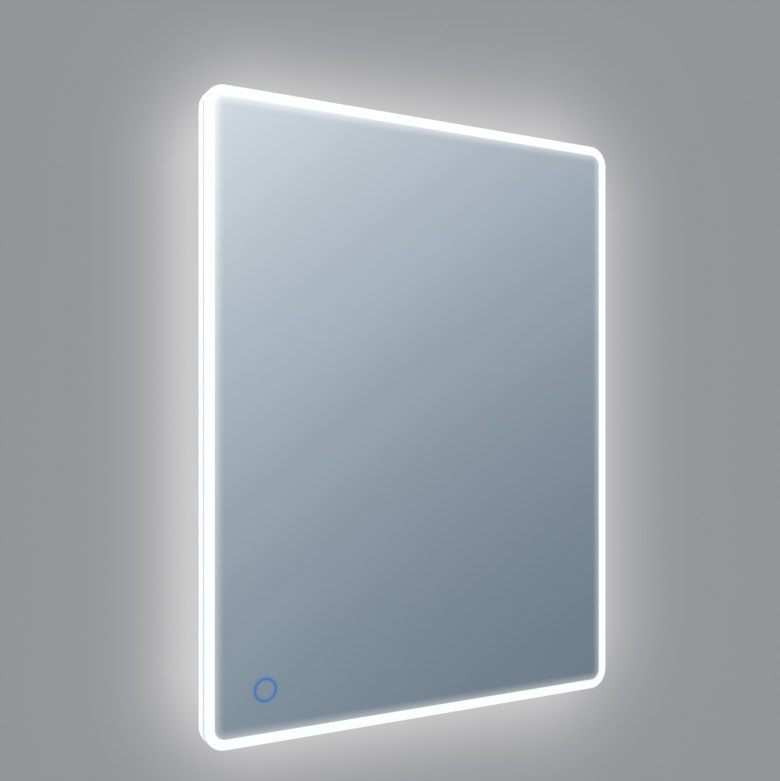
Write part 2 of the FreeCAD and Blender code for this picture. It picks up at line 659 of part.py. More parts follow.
def lies_at(edge, depth):
    """True for an edge that lies all in the plane at a depth."""
    box = edge.BoundBox
    return abs(box.YMin - depth) < NEAR and abs(box.YMax - depth) < NEAR


def on_rim(edge, half_x, half_z):
    """True for an edge that touches the sides of a rectangle round the middle, or rounds its corner."""
    box = edge.BoundBox
    across = max(abs(box.XMin), abs(box.XMax))
    up = max(abs(box.ZMin), abs(box.ZMax))
    return abs(across - half_x) < NEAR or abs(up - half_z) < NEAR


def runs_along_depth(edge, across, up):
    """True for a straight edge along Y through one point."""
    box = edge.BoundBox
    straight = box.XLength < NEAR and box.ZLength < NEAR
    return straight and abs(box.XMin - across) < NEAR and abs(box.ZMin - up) < NEAR


def group(label, solids):
    """Identical pieces that share one node."""
    node = doc.addObject("Part::Feature", label)
    node.Label = label
    node.Shape = Part.makeCompound(solids)
    SUBPARTS.append(node)
    return node


def placed(solid, spot, direction=Vector(0, 0, 1)):
    """A copy of a solid with its Z axis along a direction."""
    copy = solid.copy()
    copy.Placement = FreeCAD.Placement(
        spot, FreeCAD.Rotation(Vector(0, 0, 1), direction)
    )
    return copy


TO_ROOM = Vector(0, -1, 0)

# Turn about the depth axis, and where the glass's edge or corner lies
SIDES = {
    "left": (0, "-right_edge", "0"),
    "top": (90, "0", "top_edge"),
    "right": (180, "right_edge", "0"),
    "bottom": (-90, "0", "-top_edge"),
}
CORNERS = {
    "bottom_left": (0, "-right_edge", "-top_edge"),
    "top_left": (90, "-right_edge", "top_edge"),
    "top_right": (180, "right_edge", "top_edge"),
    "bottom_right": (-90, "right_edge", "-top_edge"),
}


def put_at(body, degrees, across, up, depth="0"):
    """Turns a body about the depth axis and binds its place to named places."""
    body.Placement = FreeCAD.Placement(
        Vector(0, 0, 0), FreeCAD.Rotation(Vector(0, 1, 0), degrees)
    )
    for axis, name in (("x", across), ("y", depth), ("z", up)):
        if name != "0":
            body.setExpression("Placement.Base." + axis, rule(name))


# ---------------------------------------------------------------------------------------------------
# Glass and what lies on its back
# ---------------------------------------------------------------------------------------------------


def make_mirror_glass():
    """Rounded sheet of glass with both edges ground to an arris."""
    body = new_body("mirror_glass")
    sketch = new_sketch(body, "XZ_Plane", "front_face")
    outline(sketch, "glass")
    grow(body, sketch, "glass_thickness")
    faces = (number("front_face"), number("glass_back"))
    soften(body, "Chamfer", lambda e: any(lies_at(e, y) for y in faces), "glass_arris")


def make_backing_film():
    """Film on the silvering inside the frosted band, open behind the touch switch."""
    body = new_body("backing_film")
    sketch = new_sketch(body, "XZ_Plane", "glass_back")
    outline(sketch, "film")
    add_circle(sketch, "switch_x", "switch_z", "film_window_radius")
    grow(body, sketch, "film_thickness")


def make_glass_bond_tape():
    """Foam tape between the film and the frame's front flange."""
    body = new_body("glass_bond_tape")
    sketch = new_sketch(body, "XZ_Plane", "film_back")
    outline(sketch, "tape_outer")
    outline(sketch, "tape_inner")
    grow(body, sketch, "tape_thickness")


def make_demister_pad():
    """Heating foil on the film, with a moulded connection tab at its lower edge."""
    body = new_body("demister_pad")
    foil = new_sketch(body, "XZ_Plane", "film_back")
    block(foil, "demister", ("0", "demister_lift"))
    grow(body, foil, "demister_thickness")
    tab = new_sketch(body, "XZ_Plane", "film_back")
    block(tab, "demister_tab", ("demister_tab_side", "demister_bottom"))
    grow(body, tab, "demister_tab_depth")


# ---------------------------------------------------------------------------------------------------
# Light channel and frame
# ---------------------------------------------------------------------------------------------------


def make_edge_diffuser():
    """Opal channel round the mirror, open inwards, with a groove in its rear web for the ledge's lip."""
    body = new_body("edge_diffuser")
    ring = new_sketch(body, "XZ_Plane", "diffuser_front")
    outline(ring, "glass")
    outline(ring, "web")
    grow(body, ring, "diffuser_depth")
    channel = new_sketch(body, "XZ_Plane", "channel_front")
    outline(channel, "channel")
    cut(body, channel, "channel_depth")
    groove = new_sketch(body, "XZ_Plane", "diffuser_rear")
    outline(groove, "groove_outer")
    outline(groove, "groove_inner")
    cut(body, groove, "groove_depth", "room")
    rear = number("diffuser_rear")
    half_x, half_z = number("right_edge"), number("top_edge")
    soften(
        body, "Chamfer", lambda e: lies_at(e, rear) and on_rim(e, half_x, half_z),
        "diffuser_arris",
    )


# The extrusion's section as (inset, depth): ledge and lip, front flange, key slot between two hooks,
# rail for the cover's screws, rear flange
PROFILE_SECTION = [
    ("ledge_edge", "ledge_rear"),
    ("ledge_edge", "lip_front"),
    ("lip_in", "lip_front"),
    ("lip_in", "ledge_front"),
    ("wall_out", "ledge_front"),
    ("wall_out", "flange_front"),
    ("flange_in", "flange_front"),
    ("flange_in", "flange_back"),
    ("wall_in", "flange_back"),
    ("wall_in", "ledge_front"),
    ("hook_in", "ledge_front"),
    ("hook_in", "front_hook_end"),
    ("hook_out", "front_hook_end"),
    ("hook_out", "ledge_rear"),
    ("wall_in", "ledge_rear"),
    ("wall_in", "rear_flange_front"),
    ("hook_out", "rear_flange_front"),
    ("hook_out", "rear_hook_end"),
    ("hook_in", "rear_hook_end"),
    ("hook_in", "rear_flange_front"),
    ("rail_out", "rear_flange_front"),
    ("rail_out", "rail_front"),
    ("rail_in", "rail_front"),
    ("rail_in", "rear_flange_front"),
    ("flange_in", "rear_flange_front"),
    ("flange_in", "gasket_front"),
    ("wall_out", "gasket_front"),
    ("wall_out", "ledge_rear"),
]


def make_profile(side):
    """One mitred length of the frame, drawn as inset along X, depth along Y and length along Z."""
    long_side = side in ("left", "right")
    half = "top_edge" if long_side else "right_edge"
    kind = "side" if long_side else "end"
    body = new_body("profile_" + side)
    section = new_sketch(body, "XY_Plane")
    add_polygon(section, PROFILE_SECTION)
    grow_both_ways(body, section, half)

    mitres = new_sketch(body, "XZ_Plane")
    for sign in ("", "-"):
        add_polygon(mitres, [
            ("0", f"{sign}{kind}_mitre_out"),
            ("mitre_reach", f"{sign}{kind}_mitre_in"),
            ("mitre_reach", f"{sign}{kind}_beyond"),
            ("0", f"{sign}{kind}_beyond"),
        ])
    bore(body, mitres)

    pilots = new_sketch(body, "XZ_Plane", "gasket_front")
    for along in COVER_SCREWS[kind]:
        add_circle(pilots, "screw_inset", along, "pilot_hole")
    cut(body, pilots, "rail_depth + profile_wall + drill_over", "room")

    if side == "bottom":
        feed = new_sketch(body, "YZ_Plane", "wall_out")
        add_circle(feed, "channel_middle", "-feed_x", "feed_hole")
        cut(body, feed, "profile_wall + drill_over", "inwards")
    put_at(body, *SIDES[side])


COVER_SCREWS = {
    "side": ("side_screw_far", "-side_screw_far"),
    "end": ("end_screw_far", "-end_screw_far"),
}


def make_corner_key(corner):
    """Steel strip bent to an L, staked in the slots of the two profiles that meet."""
    body = new_body("corner_key_" + corner)
    strip = new_sketch(body, "XZ_Plane", "key_front")
    add_polygon(strip, [
        ("key_out", "key_out"), ("key_end", "key_out"), ("key_end", "key_in"),
        ("key_in", "key_in"), ("key_in", "key_end"), ("key_out", "key_end"),
    ])
    grow(body, strip, "key_width")
    outside, inside = number("key_out"), number("key_in")
    soften(body, "Fillet", lambda e: runs_along_depth(e, outside, outside), "key_bend")
    soften(body, "Fillet", lambda e: runs_along_depth(e, inside, inside), "key_inner_bend")
    put_at(body, *CORNERS[corner])


def make_led_strip(side):
    """Flexible board on the outside of the frame's wall, with one package per pitch."""
    kind = "side" if side in ("left", "right") else "end"
    body = new_body("led_strip_" + side)
    board = new_sketch(body, "XY_Plane")
    add_polygon(board, [
        ("strip_face", "strip_front"), ("strip_back", "strip_front"),
        ("strip_back", "strip_rear"), ("strip_face", "strip_rear"),
    ])
    grow_both_ways(body, board, kind + "_strip_half")
    package = new_sketch(body, "XY_Plane", kind + "_led_first")
    add_polygon(package, [
        ("led_face", "led_front"), ("strip_face", "led_front"),
        ("strip_face", "led_rear"), ("led_face", "led_rear"),
    ])
    led = grow_both_ways(body, package, "led_half_length")
    row = body.newObject("PartDesign::LinearPattern", body.Name + "_row")
    row.Originals = [led]
    axis = [item for item in body.Origin.OriginFeatures if item.Role == "Z_Axis"]
    row.Direction = (axis[0], [""])
    row.Mode = "Spacing"
    row.setExpression("Offset", rule("led_pitch"))
    row.setExpression("Occurrences", rule(kind + "_led_count"))
    body.Tip = row
    put_at(body, *SIDES[side])


def make_led_jumpers():
    """Flat links between the strips round three corners; the fourth is where the feed comes in."""
    near, far, end = number("strip_face"), number("strip_back"), number("jumper_end")
    corners = [
        Vector(near, 0, near), Vector(end, 0, near), Vector(end, 0, far),
        Vector(far, 0, far), Vector(far, 0, end), Vector(near, 0, end),
    ]
    flat = Part.Face(Part.makePolygon(corners + corners[:1]))
    link = flat.extrude(Vector(0, number("jumper_width"), 0))
    link.translate(Vector(0, number("jumper_front"), 0))
    solids = []
    for corner in ("top_left", "top_right", "bottom_right"):
        degrees, across, up = CORNERS[corner]
        copy = link.copy()
        copy.Placement = FreeCAD.Placement(
            Vector(number(across), 0, number(up)),
            FreeCAD.Rotation(Vector(0, 1, 0), degrees),
        ).multiply(copy.Placement)
        solids.append(copy)
    group("led_jumpers", solids)


# ---------------------------------------------------------------------------------------------------
# Back cover, its gasket and its screws
# ---------------------------------------------------------------------------------------------------


def cover_screw_spots():
    """Where the cover's screws go, as (across, up) names."""
    spots = []
    for sign in ("", "-"):
        spots += [(sign + "side_screw_x", along) for along in COVER_SCREWS["side"]]
        spots += [(along, sign + "end_screw_z") for along in COVER_SCREWS["end"]]
    return spots


def make_cover_gasket():
    """Foam ring between the frame's rear flange and the cover, outside the screws."""
    body = new_body("cover_gasket")
    ring = new_sketch(body, "XZ_Plane", "gasket_front")
    outline(ring, "gasket_outer")
    outline(ring, "gasket_inner")
    grow(body, ring, "gasket_thickness")


def press(body, name, middle, depth):
    """A pressed hollow: a bump inside the cover, then the hollow itself from the wall's side."""
    bump = new_sketch(body, "XZ_Plane", "panel_front")
    block(bump, name + "_bump", middle)
    slope(grow(body, bump, depth, "room"))
    hollow = new_sketch(body, "XZ_Plane")
    block(hollow, name, middle)
    slope(cut(body, hollow, depth, "room"))


def make_back_cover():
    """Pressed sheet: flange, raised panel, keyhole recesses and beads, then every hole in it."""
    body = new_body("back_cover")
    sheet = new_sketch(body, "XZ_Plane", "cover_front")
    outline(sheet, "cover")
    grow(body, sheet, "cover_thickness")
    panel = new_sketch(body, "XZ_Plane", "flange_rear")
    outline(panel, "panel")
    slope(grow(body, panel, "panel_raise"))
    hollow = new_sketch(body, "XZ_Plane", "cover_front")
    outline(hollow, "hollow")
    slope(cut(body, hollow, "panel_raise"))
    for sign in ("", "-"):
        press(body, "recess", (sign + "keyhole_x", "keyhole_middle"), "recess_depth")
    for across in ("bead_x", "-bead_x"):
        press(body, "bead", (across, "bead_middle_height"), "bead_depth")

    round_holes = new_sketch(body, "XZ_Plane")
    for spot in cover_screw_spots():
        add_circle(round_holes, *spot, "screw_hole")
    for sign in ("", "-"):
        add_circle(round_holes, sign + "keyhole_x", "keyhole_z", "keyhole_entry_radius")
    add_circle(round_holes, "grommet_x", "grommet_z", "grommet_hole")
    bore(body, round_holes)
    necks = new_sketch(body, "XZ_Plane")
    for sign in ("", "-"):
        block(necks, "neck", (sign + "keyhole_x", "keyhole_middle"))
    bore(body, necks)


def make_cover_screws():
    """Pan-head screws through the cover's flange into the frame's rail."""
    head, height = number("cover_screw_head_radius"), number("cover_screw_head_height")
    shank, length = number("cover_screw_radius"), number("cover_screw_length")
    screw = pan_screw(head, height, shank, length)
    solids = [
        placed(screw, Vector(number(across), number("flange_rear"), number(up)), TO_ROOM)
        for across, up in cover_screw_spots()
    ]
    group("cover_screws", solids)


def prism(sides, radius, start, end):
    """A regular prism along Z."""
    turn = 2 * math.pi / sides
    corners = [
        Vector(radius * math.cos(n * turn), radius * math.sin(n * turn), start)
        for n in range(sides)
    ]
    face = Part.Face(Part.makePolygon(corners + corners[:1]))
    return face.extrude(Vector(0, 0, end - start))


def pan_screw(head, height, shank, length):
    """A screw with the underside of its head at the origin and its shank along +Z."""
    top = prism(HEAD_SIDES, head, -height, 0)
    return top.fuse(prism(SHANK_SIDES, shank, 0, length)).removeSplitter()


HEAD_SIDES = 12
SHANK_SIDES = 8


# ---------------------------------------------------------------------------------------------------
# Keyhole plates and cups
# ---------------------------------------------------------------------------------------------------


def make_hanger_plate(side):
    """Steel plate spot-welded inside the cover's recess, with the same keyhole."""
    sign = "-" if side == "left" else ""
    body = new_body("hanger_plate_" + side)
    plate = new_sketch(body, "XZ_Plane", "hanger_front")
    block(plate, "hanger")
    grow(body, plate, "hanger_thickness")
    entry = new_sketch(body, "XZ_Plane")
    add_circle(entry, "0", "keyhole_z - keyhole_middle", "keyhole_entry_radius")
    bore(body, entry)
    neck = new_sketch(body, "XZ_Plane")
    block(neck, "neck")
    bore(body, neck)
    put_at(body, 0, sign + "keyhole_x", "keyhole_middle")


def make_keyhole_cup(side):
    """Moulded cup that keeps the wall screw's head away from the leads."""
    sign = "-" if side == "left" else ""
    body = new_body("keyhole_cup_" + side)
    flange = new_sketch(body, "XZ_Plane", "cup_flange_front")
    block(flange, "cup_flange")
    grow(body, flange, "cup_wall")
    cup = new_sketch(body, "XZ_Plane", "cup_flange_front")
    block(cup, "cup")
    grow(body, cup, "cup_depth", "room")
    hollow = new_sketch(body, "XZ_Plane", "hanger_front")
    block(hollow, "cup_hollow")
    cut(body, hollow, "cup_depth", "room")
    put_at(body, 0, sign + "keyhole_x", "keyhole_middle")


# ---------------------------------------------------------------------------------------------------
# Cable entry and junction box
# ---------------------------------------------------------------------------------------------------


def make_cable_grommet():
    """Rubber grommet: a neck in the cover's hole and a flange inside it."""
    body = new_body("cable_grommet")
    section = new_sketch(body, "XY_Plane")
    add_polygon(section, [
        ("grommet_bore", "0"), ("grommet_bore", "grommet_nose"),
        ("grommet_flange", "grommet_nose"), ("grommet_flange", "panel_front"),
        ("grommet_neck", "panel_front"), ("grommet_neck", "0"),
    ])
    ring = body.newObject("PartDesign::Revolution", "cable_grommet_ring")
    ring.Profile = section
    ring.ReferenceAxis = (section, ["V_Axis"])
    ring.Angle = 360
    doc.recompute()
    put_at(body, 0, "grommet_x", "grommet_z")


def make_junction_box():
    """Closed box in which the supply is joined to the two leads."""
    body = new_body("junction_box")
    base = new_sketch(body, "XZ_Plane", "panel_front")
    block(base, "junction")
    grow(body, base, "junction_body_depth", "room")
    put_at(body, 0, "junction_x", "junction_z")


def make_junction_lid():
    """Flat lid snapped on the junction box."""
    body = new_body("junction_lid")
    lid = new_sketch(body, "XZ_Plane", "junction_front")
    block(lid, "junction")
    grow(body, lid, "lid_thickness")
    put_at(body, 0, "junction_x", "junction_z")


# ---------------------------------------------------------------------------------------------------
# Power supply
# ---------------------------------------------------------------------------------------------------


def make_driver_case():
    """Moulded tray, bonded to the cover."""
    body = new_body("driver_case")
    tray = new_sketch(body, "XZ_Plane", "panel_front")
    block(tray, "driver")
    grow(body, tray, "driver_depth - lid_thickness", "room")
    room = new_sketch(body, "XZ_Plane", "lid_back")
    block(room, "driver_hollow")
    cut(body, room, "driver_room_depth")
    put_at(body, 0, "driver_x", "driver_z")


def make_driver_lid():
    """Flat lid with a lip inside the tray's walls and a row of vent slots."""
    body = new_body("driver_lid")
    plate = new_sketch(body, "XZ_Plane", "driver_front")
    block(plate, "driver")
    grow(body, plate, "lid_thickness")
    lip = new_sketch(body, "XZ_Plane", "lid_back")
    block(lip, "lid_lip_outer")
    block(lip, "lid_lip_inner")
    grow(body, lip, "lid_lip")
    slot = new_sketch(body, "XZ_Plane", "driver_front")
    block(slot, "vent", ("vent_first", "0"))
    first = cut(body, slot, "lid_thickness")
    row = body.newObject("PartDesign::LinearPattern", "driver_lid_row")
    row.Originals = [first]
    axis = [item for item in body.Origin.OriginFeatures if item.Role == "X_Axis"]
    row.Direction = (axis[0], [""])
    row.Mode = "Spacing"
    row.setExpression("Offset", rule("vent_pitch"))
    row.setExpression("Occurrences", rule("vent_count"))
    body.Tip = row
    put_at(body, 0, "driver_x", "driver_z")


def make_driver_board():
    """Printed board with its transformer, choke and capacitor."""
    body = new_body("driver_board")
    board = new_sketch(body, "XZ_Plane", "board_back")
    block(board, "driver_board")
    grow(body, board, "board_thickness", "room")
    transformer = new_sketch(body, "XZ_Plane", "board_front")
    block(transformer, "transformer", ("transformer_side", "0"))
    grow(body, transformer, "tall_part", "room")
    for across, up, radius, height in ROUND_BOARD_PARTS:
        part = new_sketch(body, "XZ_Plane", "board_front")
        add_circle(part, across, up, radius)
        grow(body, part, height, "room")
    put_at(body, 0, "driver_x", "driver_z")


# Middle across and up, radius and height of the choke and the capacitor
ROUND_BOARD_PARTS = [
    ("choke_side", "choke_rise", "choke_radius", "short_part"),
    ("-capacitor_side", "-choke_rise", "capacitor_radius", "tall_part"),
]


# ---------------------------------------------------------------------------------------------------
# Touch switch
# ---------------------------------------------------------------------------------------------------


def make_sensor_case():
    """Shallow cap on the film over the switch, open to the glass."""
    body = new_body("sensor_case")
    cap = new_sketch(body, "XZ_Plane", "film_back")
    block(cap, "sensor")
    grow(body, cap, "sensor_depth")
    room = new_sketch(body, "XZ_Plane", "film_back")
    block(room, "sensor_hollow")
    cut(body, room, "sensor_depth - sensor_wall")
    put_at(body, 0, "switch_x", "switch_z")


def make_sensor_board():
    """Printed board behind the light guide, with the touch chip."""
    body = new_body("sensor_board")
    board = new_sketch(body, "XZ_Plane", "guide_back")
    block(board, "sensor_board")
    grow(body, board, "board_thickness")
    chip = new_sketch(body, "XZ_Plane", "sensor_board_back")
    block(chip, "chip")
    grow(body, chip, "chip_height")
    put_at(body, 0, "switch_x", "switch_z")


def make_sensor_light_ring():
    """Light guide ring between the switch's board and the glass."""
    body = new_body("sensor_light_ring")
    ring = new_sketch(body, "XZ_Plane", "guide_front")
    add_circle(ring, "0", "0", "ring_outer")
    add_circle(ring, "0", "0", "ring_inner")
    grow(body, ring, "light_guide_depth")
    put_at(body, 0, "switch_x", "switch_z")


# ---------------------------------------------------------------------------------------------------
# Leads held inside the housing
# ---------------------------------------------------------------------------------------------------


ARC_SHARE = 0.45


def bent_path(label, points):
    """Straight runs joined by tangent arcs, each as large as its two runs allow; prints the radii."""
    radii, pieces, start = [], [], points[0]
    for n in range(1, len(points) - 1):
        back, on = points[n - 1] - points[n], points[n + 1] - points[n]
        turn = math.pi - back.getAngle(on)
        shorter = min(back.Length, on.Length)
        radius = ARC_SHARE * shorter / math.tan(turn / 2)
        reach = radius * math.tan(turn / 2)
        back.normalize()
        on.normalize()
        enter, leave = points[n] + back * reach, points[n] + on * reach
        bisector = (back + on).normalize()
        middle = points[n] + bisector * (radius / math.cos(turn / 2) - radius)
        pieces.append(Part.LineSegment(start, enter).toShape())
        pieces.append(Part.Arc(enter, middle, leave).toShape())
        radii.append(round(radius, 1))
        start = leave
    pieces.append(Part.LineSegment(start, points[-1]).toShape())
    print(label, "bend radii", radii)
    return Part.Wire(pieces)


VOLUME_SLACK = 0.01


def tube(label, points, radius):
    """A round lead along a bent path."""
    path = bent_path(label, points) if len(points) > 2 else Part.makePolygon(points)
    start = Part.Circle(points[0], points[1] - points[0], radius)
    solid = path.makePipeShell([Part.Wire(start.toShape())], True, False)
    wanted = math.pi * radius ** 2 * path.Length
    if abs(solid.Volume / wanted - 1) > VOLUME_SLACK:
        raise ValueError(f"{label} has the wrong volume")
    return solid


def spot_at(across, depth, up):
    """A point from three named places."""
    return Vector(number(across), number(depth), number(up))


def make_leads():
    """Every lead that runs inside the housing, from the piece it starts on to the one it ends on."""
    group("mains_lead", [tube("mains_lead", [
        spot_at("driver_right", "box_lead_height", "mains_lead_z"),
        spot_at("junction_x - junction_half_x", "box_lead_height", "mains_lead_z"),
    ], number("mains_lead_radius"))])

    switch_side = "switch_x + sensor_half_x + lead_end_gap"
    group("led_feed_lead", [tube("led_feed_lead", [
        spot_at("driver_left - lead_end_gap", "driver_lead_height", "driver_z"),
        spot_at(switch_side, "sensor_lead_height", "driver_z"),
    ], number("lead_radius"))])

    start = spot_at(switch_side, "sensor_lead_height", "switch_z - feed_lead_drop")
    end = spot_at("feed_x", "channel_middle", "strip_back + lead_end_gap - top_edge")
    bend = Vector(end.x, (start.y + end.y) / 2, start.z)
    group("strip_feed_lead", [tube("strip_feed_lead", [start, bend, end], number("feed_lead_radius"))])

    start = spot_at("junction_x", "box_lead_height", "junction_z + junction_half_z + lead_end_gap")
    end = spot_at("demister_tab_side", "demister_lead_height",
                  "demister_bottom - demister_tab_half_z - tab_end_gap")
    bend = spot_at("junction_x - bow_side", "box_lead_height - bow_depth", "0")
    bend.z = (start.z + end.z) / 2
    group("demister_lead", [tube("demister_lead", [start, bend, end], number("lead_radius"))])


make_mirror_glass()
make_backing_film()
make_glass_bond_tape()
make_demister_pad()
make_edge_diffuser()
for name in SIDES:
    make_profile(name)
for name in CORNERS:
    make_corner_key(name)
for name in SIDES:
    make_led_strip(name)
make_led_jumpers()
make_cover_gasket()
make_back_cover()
make_cover_screws()
for name in ("left", "right"):
    make_hanger_plate(name)
    make_keyhole_cup(name)
make_cable_grommet()
make_junction_box()
make_junction_lid()
make_driver_case()
make_driver_lid()
make_driver_board()
make_sensor_case()
make_sensor_board()
make_sensor_light_ring()
make_leads()

# ---------------------------------------------------------------------------------------------------
# Checks, then one STEP file per sub-part
# ---------------------------------------------------------------------------------------------------


def check_document():
    """Stops on a failed object, a cut that took nothing away, or a sub-part that isn't a sound solid."""
    for item in doc.Objects:
        if "Invalid" in item.State or "Error" in item.State:
            raise RuntimeError(f"{item.Label} did not recompute")
    for feature in CUTS:
        before, after = feature.BaseFeature.Shape.Volume, feature.Shape.Volume
        if after > before - NEAR:
            raise RuntimeError(f"{feature.Label} cuts nothing")
    for node in SUBPARTS:
        if node.Shape.isNull() or not node.Shape.isValid() or not node.Shape.Solids:
            raise RuntimeError(f"{node.Label} is not a sound solid")


doc.recompute()
check_document()
os.makedirs("parts", exist_ok=True)
for node in SUBPARTS:
    node.Shape.exportStep(os.path.join("parts", node.Label + ".step"))
print(len(SUBPARTS), "sub-parts written")
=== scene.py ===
import math
from functools import partialmethod

import bpy
import numpy as np
from bpy.props import FloatProperty, FloatVectorProperty, PointerProperty
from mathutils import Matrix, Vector


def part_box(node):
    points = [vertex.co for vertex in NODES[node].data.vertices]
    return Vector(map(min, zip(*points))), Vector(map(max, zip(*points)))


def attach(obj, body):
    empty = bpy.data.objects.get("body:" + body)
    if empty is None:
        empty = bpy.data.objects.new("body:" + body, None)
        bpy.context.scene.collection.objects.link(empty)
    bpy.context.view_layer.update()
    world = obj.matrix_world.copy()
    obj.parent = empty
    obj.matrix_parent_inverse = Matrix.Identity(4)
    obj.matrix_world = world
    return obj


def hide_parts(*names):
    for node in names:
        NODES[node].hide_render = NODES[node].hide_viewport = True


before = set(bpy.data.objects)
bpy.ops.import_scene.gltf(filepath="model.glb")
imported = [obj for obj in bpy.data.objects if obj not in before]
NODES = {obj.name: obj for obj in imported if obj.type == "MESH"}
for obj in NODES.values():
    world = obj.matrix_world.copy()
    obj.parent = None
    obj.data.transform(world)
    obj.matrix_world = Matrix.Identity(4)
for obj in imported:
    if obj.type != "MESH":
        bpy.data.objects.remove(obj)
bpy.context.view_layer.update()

bl_info = {
    "name": "Lighted bathroom mirror",
    "version": (1, 0, 0),
    "blender": (4, 5, 0),
    "location": "3D View > Sidebar > Mirror",
    "description": "Finishes a lighted bathroom mirror and hangs it on a plain wall",
    "category": "Object",
}

# Places, read from the frame
GLASS_LOW, GLASS_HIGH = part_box("mirror_glass")
DIFFUSER_LOW, DIFFUSER_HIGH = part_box("edge_diffuser")
RING_LOW, RING_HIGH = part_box("sensor_light_ring")
STRIP_LOW, STRIP_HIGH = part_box("led_strip_left")
PLATE_LOW, PLATE_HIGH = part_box("hanger_plate_right")
HALF_WIDTH, HALF_HEIGHT = GLASS_HIGH.x, GLASS_HIGH.z
GLASS_FRONT, GLASS_BACK = GLASS_LOW.y, GLASS_HIGH.y
RING_MIDDLE = (RING_LOW + RING_HIGH) / 2
KEYHOLE = (PLATE_LOW + PLATE_HIGH) / 2

MM = 0.001
BLACK = (0, 0, 0)


# ---- settings

def colour(name, description, default):
    """A colour the user can change, in linear light."""
    return FloatVectorProperty(name=name, description=description, subtype="COLOR", size=3, default=default,
                               min=0, max=1)


def length(name, description, default):
    """A length the user can change, in metres."""
    return FloatProperty(name=name, description=description, subtype="DISTANCE", unit="LENGTH",
                         default=default, min=0, precision=4)


class GlassSettings(bpy.types.PropertyGroup):
    corner_radius: length("Corner radius", "Radius of the glass's corners", 0.022)
    arris: length("Arris", "Width of the ground edge between the glass's face and its side", 0.0006)
    band_width: length("Band width", "Width of the frosted band that is lit", 0.0105)
    glow_reach: length("Glow reach", "How far the band's light spills over the silvering", 0.0105)
    band_colour: colour("Band", "Light through the frosted band", (0.775, 0.815, 0.8))
    frost_colour: colour("Frost", "Etched glass of the band, unlit", (0.2, 0.21, 0.21))
    spill_colour: colour("Spill", "Light that spills over the silvering", (0.27, 0.232, 0.205))
    edge_colour: colour("Edge", "Light in the ground edge of the glass", (0.52, 0.56, 0.55))
    side_colour: colour("Side", "Ground side of the glass, unlit", (0.085, 0.11, 0.104))
    silver_tint: colour("Silvering", "Tint of the silvered face", (0.9, 0.925, 0.93))
    paint_colour: colour("Backing paint", "Paint on the back of the silvering", (0.2, 0.24, 0.25))
    ring_colour: colour("Switch ring", "Light of the ring of the touch switch", (0.062, 0.19, 0.45))
    ring_radius: length("Ring radius", "Middle of the switch's lit ring", 0.011)
    ring_stroke: length("Ring stroke", "Width of the switch's lit ring", 0.0031)


class LightSettings(bpy.types.PropertyGroup):
    opal_colour: colour("Opal acrylic", "Unlit colour of the diffuser", (0.35, 0.36, 0.36))
    opal_light: colour("Opal light", "Light that the diffuser gives", (0.62, 0.66, 0.655))
    wall: length("Channel wall", "Outer wall of the opal channel", 0.002)
    front_web: length("Front web", "Web of the opal channel behind the glass", 0.0018)
    rear_web: length("Rear web", "Web of the opal channel on the frame's ledge", 0.0024)
    web_reach: length("Web reach", "Inset at which both webs end", 0.016)
    groove_out: length("Groove, outside", "Inset of the outside of the groove for the frame's lip", 0.0088)
    groove_in: length("Groove, inside", "Inset of the inside of the groove for the frame's lip", 0.0106)
    groove_depth: length("Groove depth", "Depth of the groove for the frame's lip", 0.0014)
    phosphor_colour: colour("Phosphor", "Face of each light-emitting diode", (0.9, 0.74, 0.28))
    mask_colour: colour("Strip", "Solder mask of the strips", (0.8, 0.8, 0.76))
    diode_pitch: length("Diode pitch", "Distance from one diode to the next", 0.0333)


class MetalSettings(bpy.types.PropertyGroup):
    anodised_colour: colour("Anodised aluminium", "Frame extrusion", (0.55, 0.56, 0.57))
    coat_colour: colour("Powder coat", "Back cover", (0.4, 0.41, 0.42))
    zinc_colour: colour("Zinc", "Plated plates, keys and screws", (0.56, 0.58, 0.6))
    head_height: length("Head height", "Of the cover's screws", 0.0017)
    recess_arm: length("Recess arm", "Middle of a screw's cross recess to the end of an arm", 0.0016)
    recess_width: length("Recess width", "Half the width of an arm of the cross recess", 0.0004)
    thread_pitch: length("Thread pitch", "Of the cover's screws", 0.001)
    thread_depth: length("Thread depth", "Of the cover's screws", 0.0003)


class MouldingSettings(bpy.types.PropertyGroup):
    white_colour: colour("White mouldings", "Power supply and junction box", (0.72, 0.72, 0.69))
    black_colour: colour("Black mouldings", "Switch case and keyhole cups", (0.022, 0.022, 0.024))
    rubber_colour: colour("Rubber", "Cable grommet", (0.025, 0.025, 0.026))
    foam_colour: colour("Foam", "Bond tape and cover gasket", (0.045, 0.045, 0.05))
    film_colour: colour("Safety film", "Film on the back of the glass", (0.42, 0.44, 0.47))
    foil_colour: colour("Heating foil", "Demister pad", (0.7, 0.66, 0.58))
    board_colour: colour("Printed board", "Solder mask of the boards", (0.02, 0.13, 0.05))
    sheath_colour: colour("Leads", "Sheath of the leads", (0.6, 0.6, 0.58))


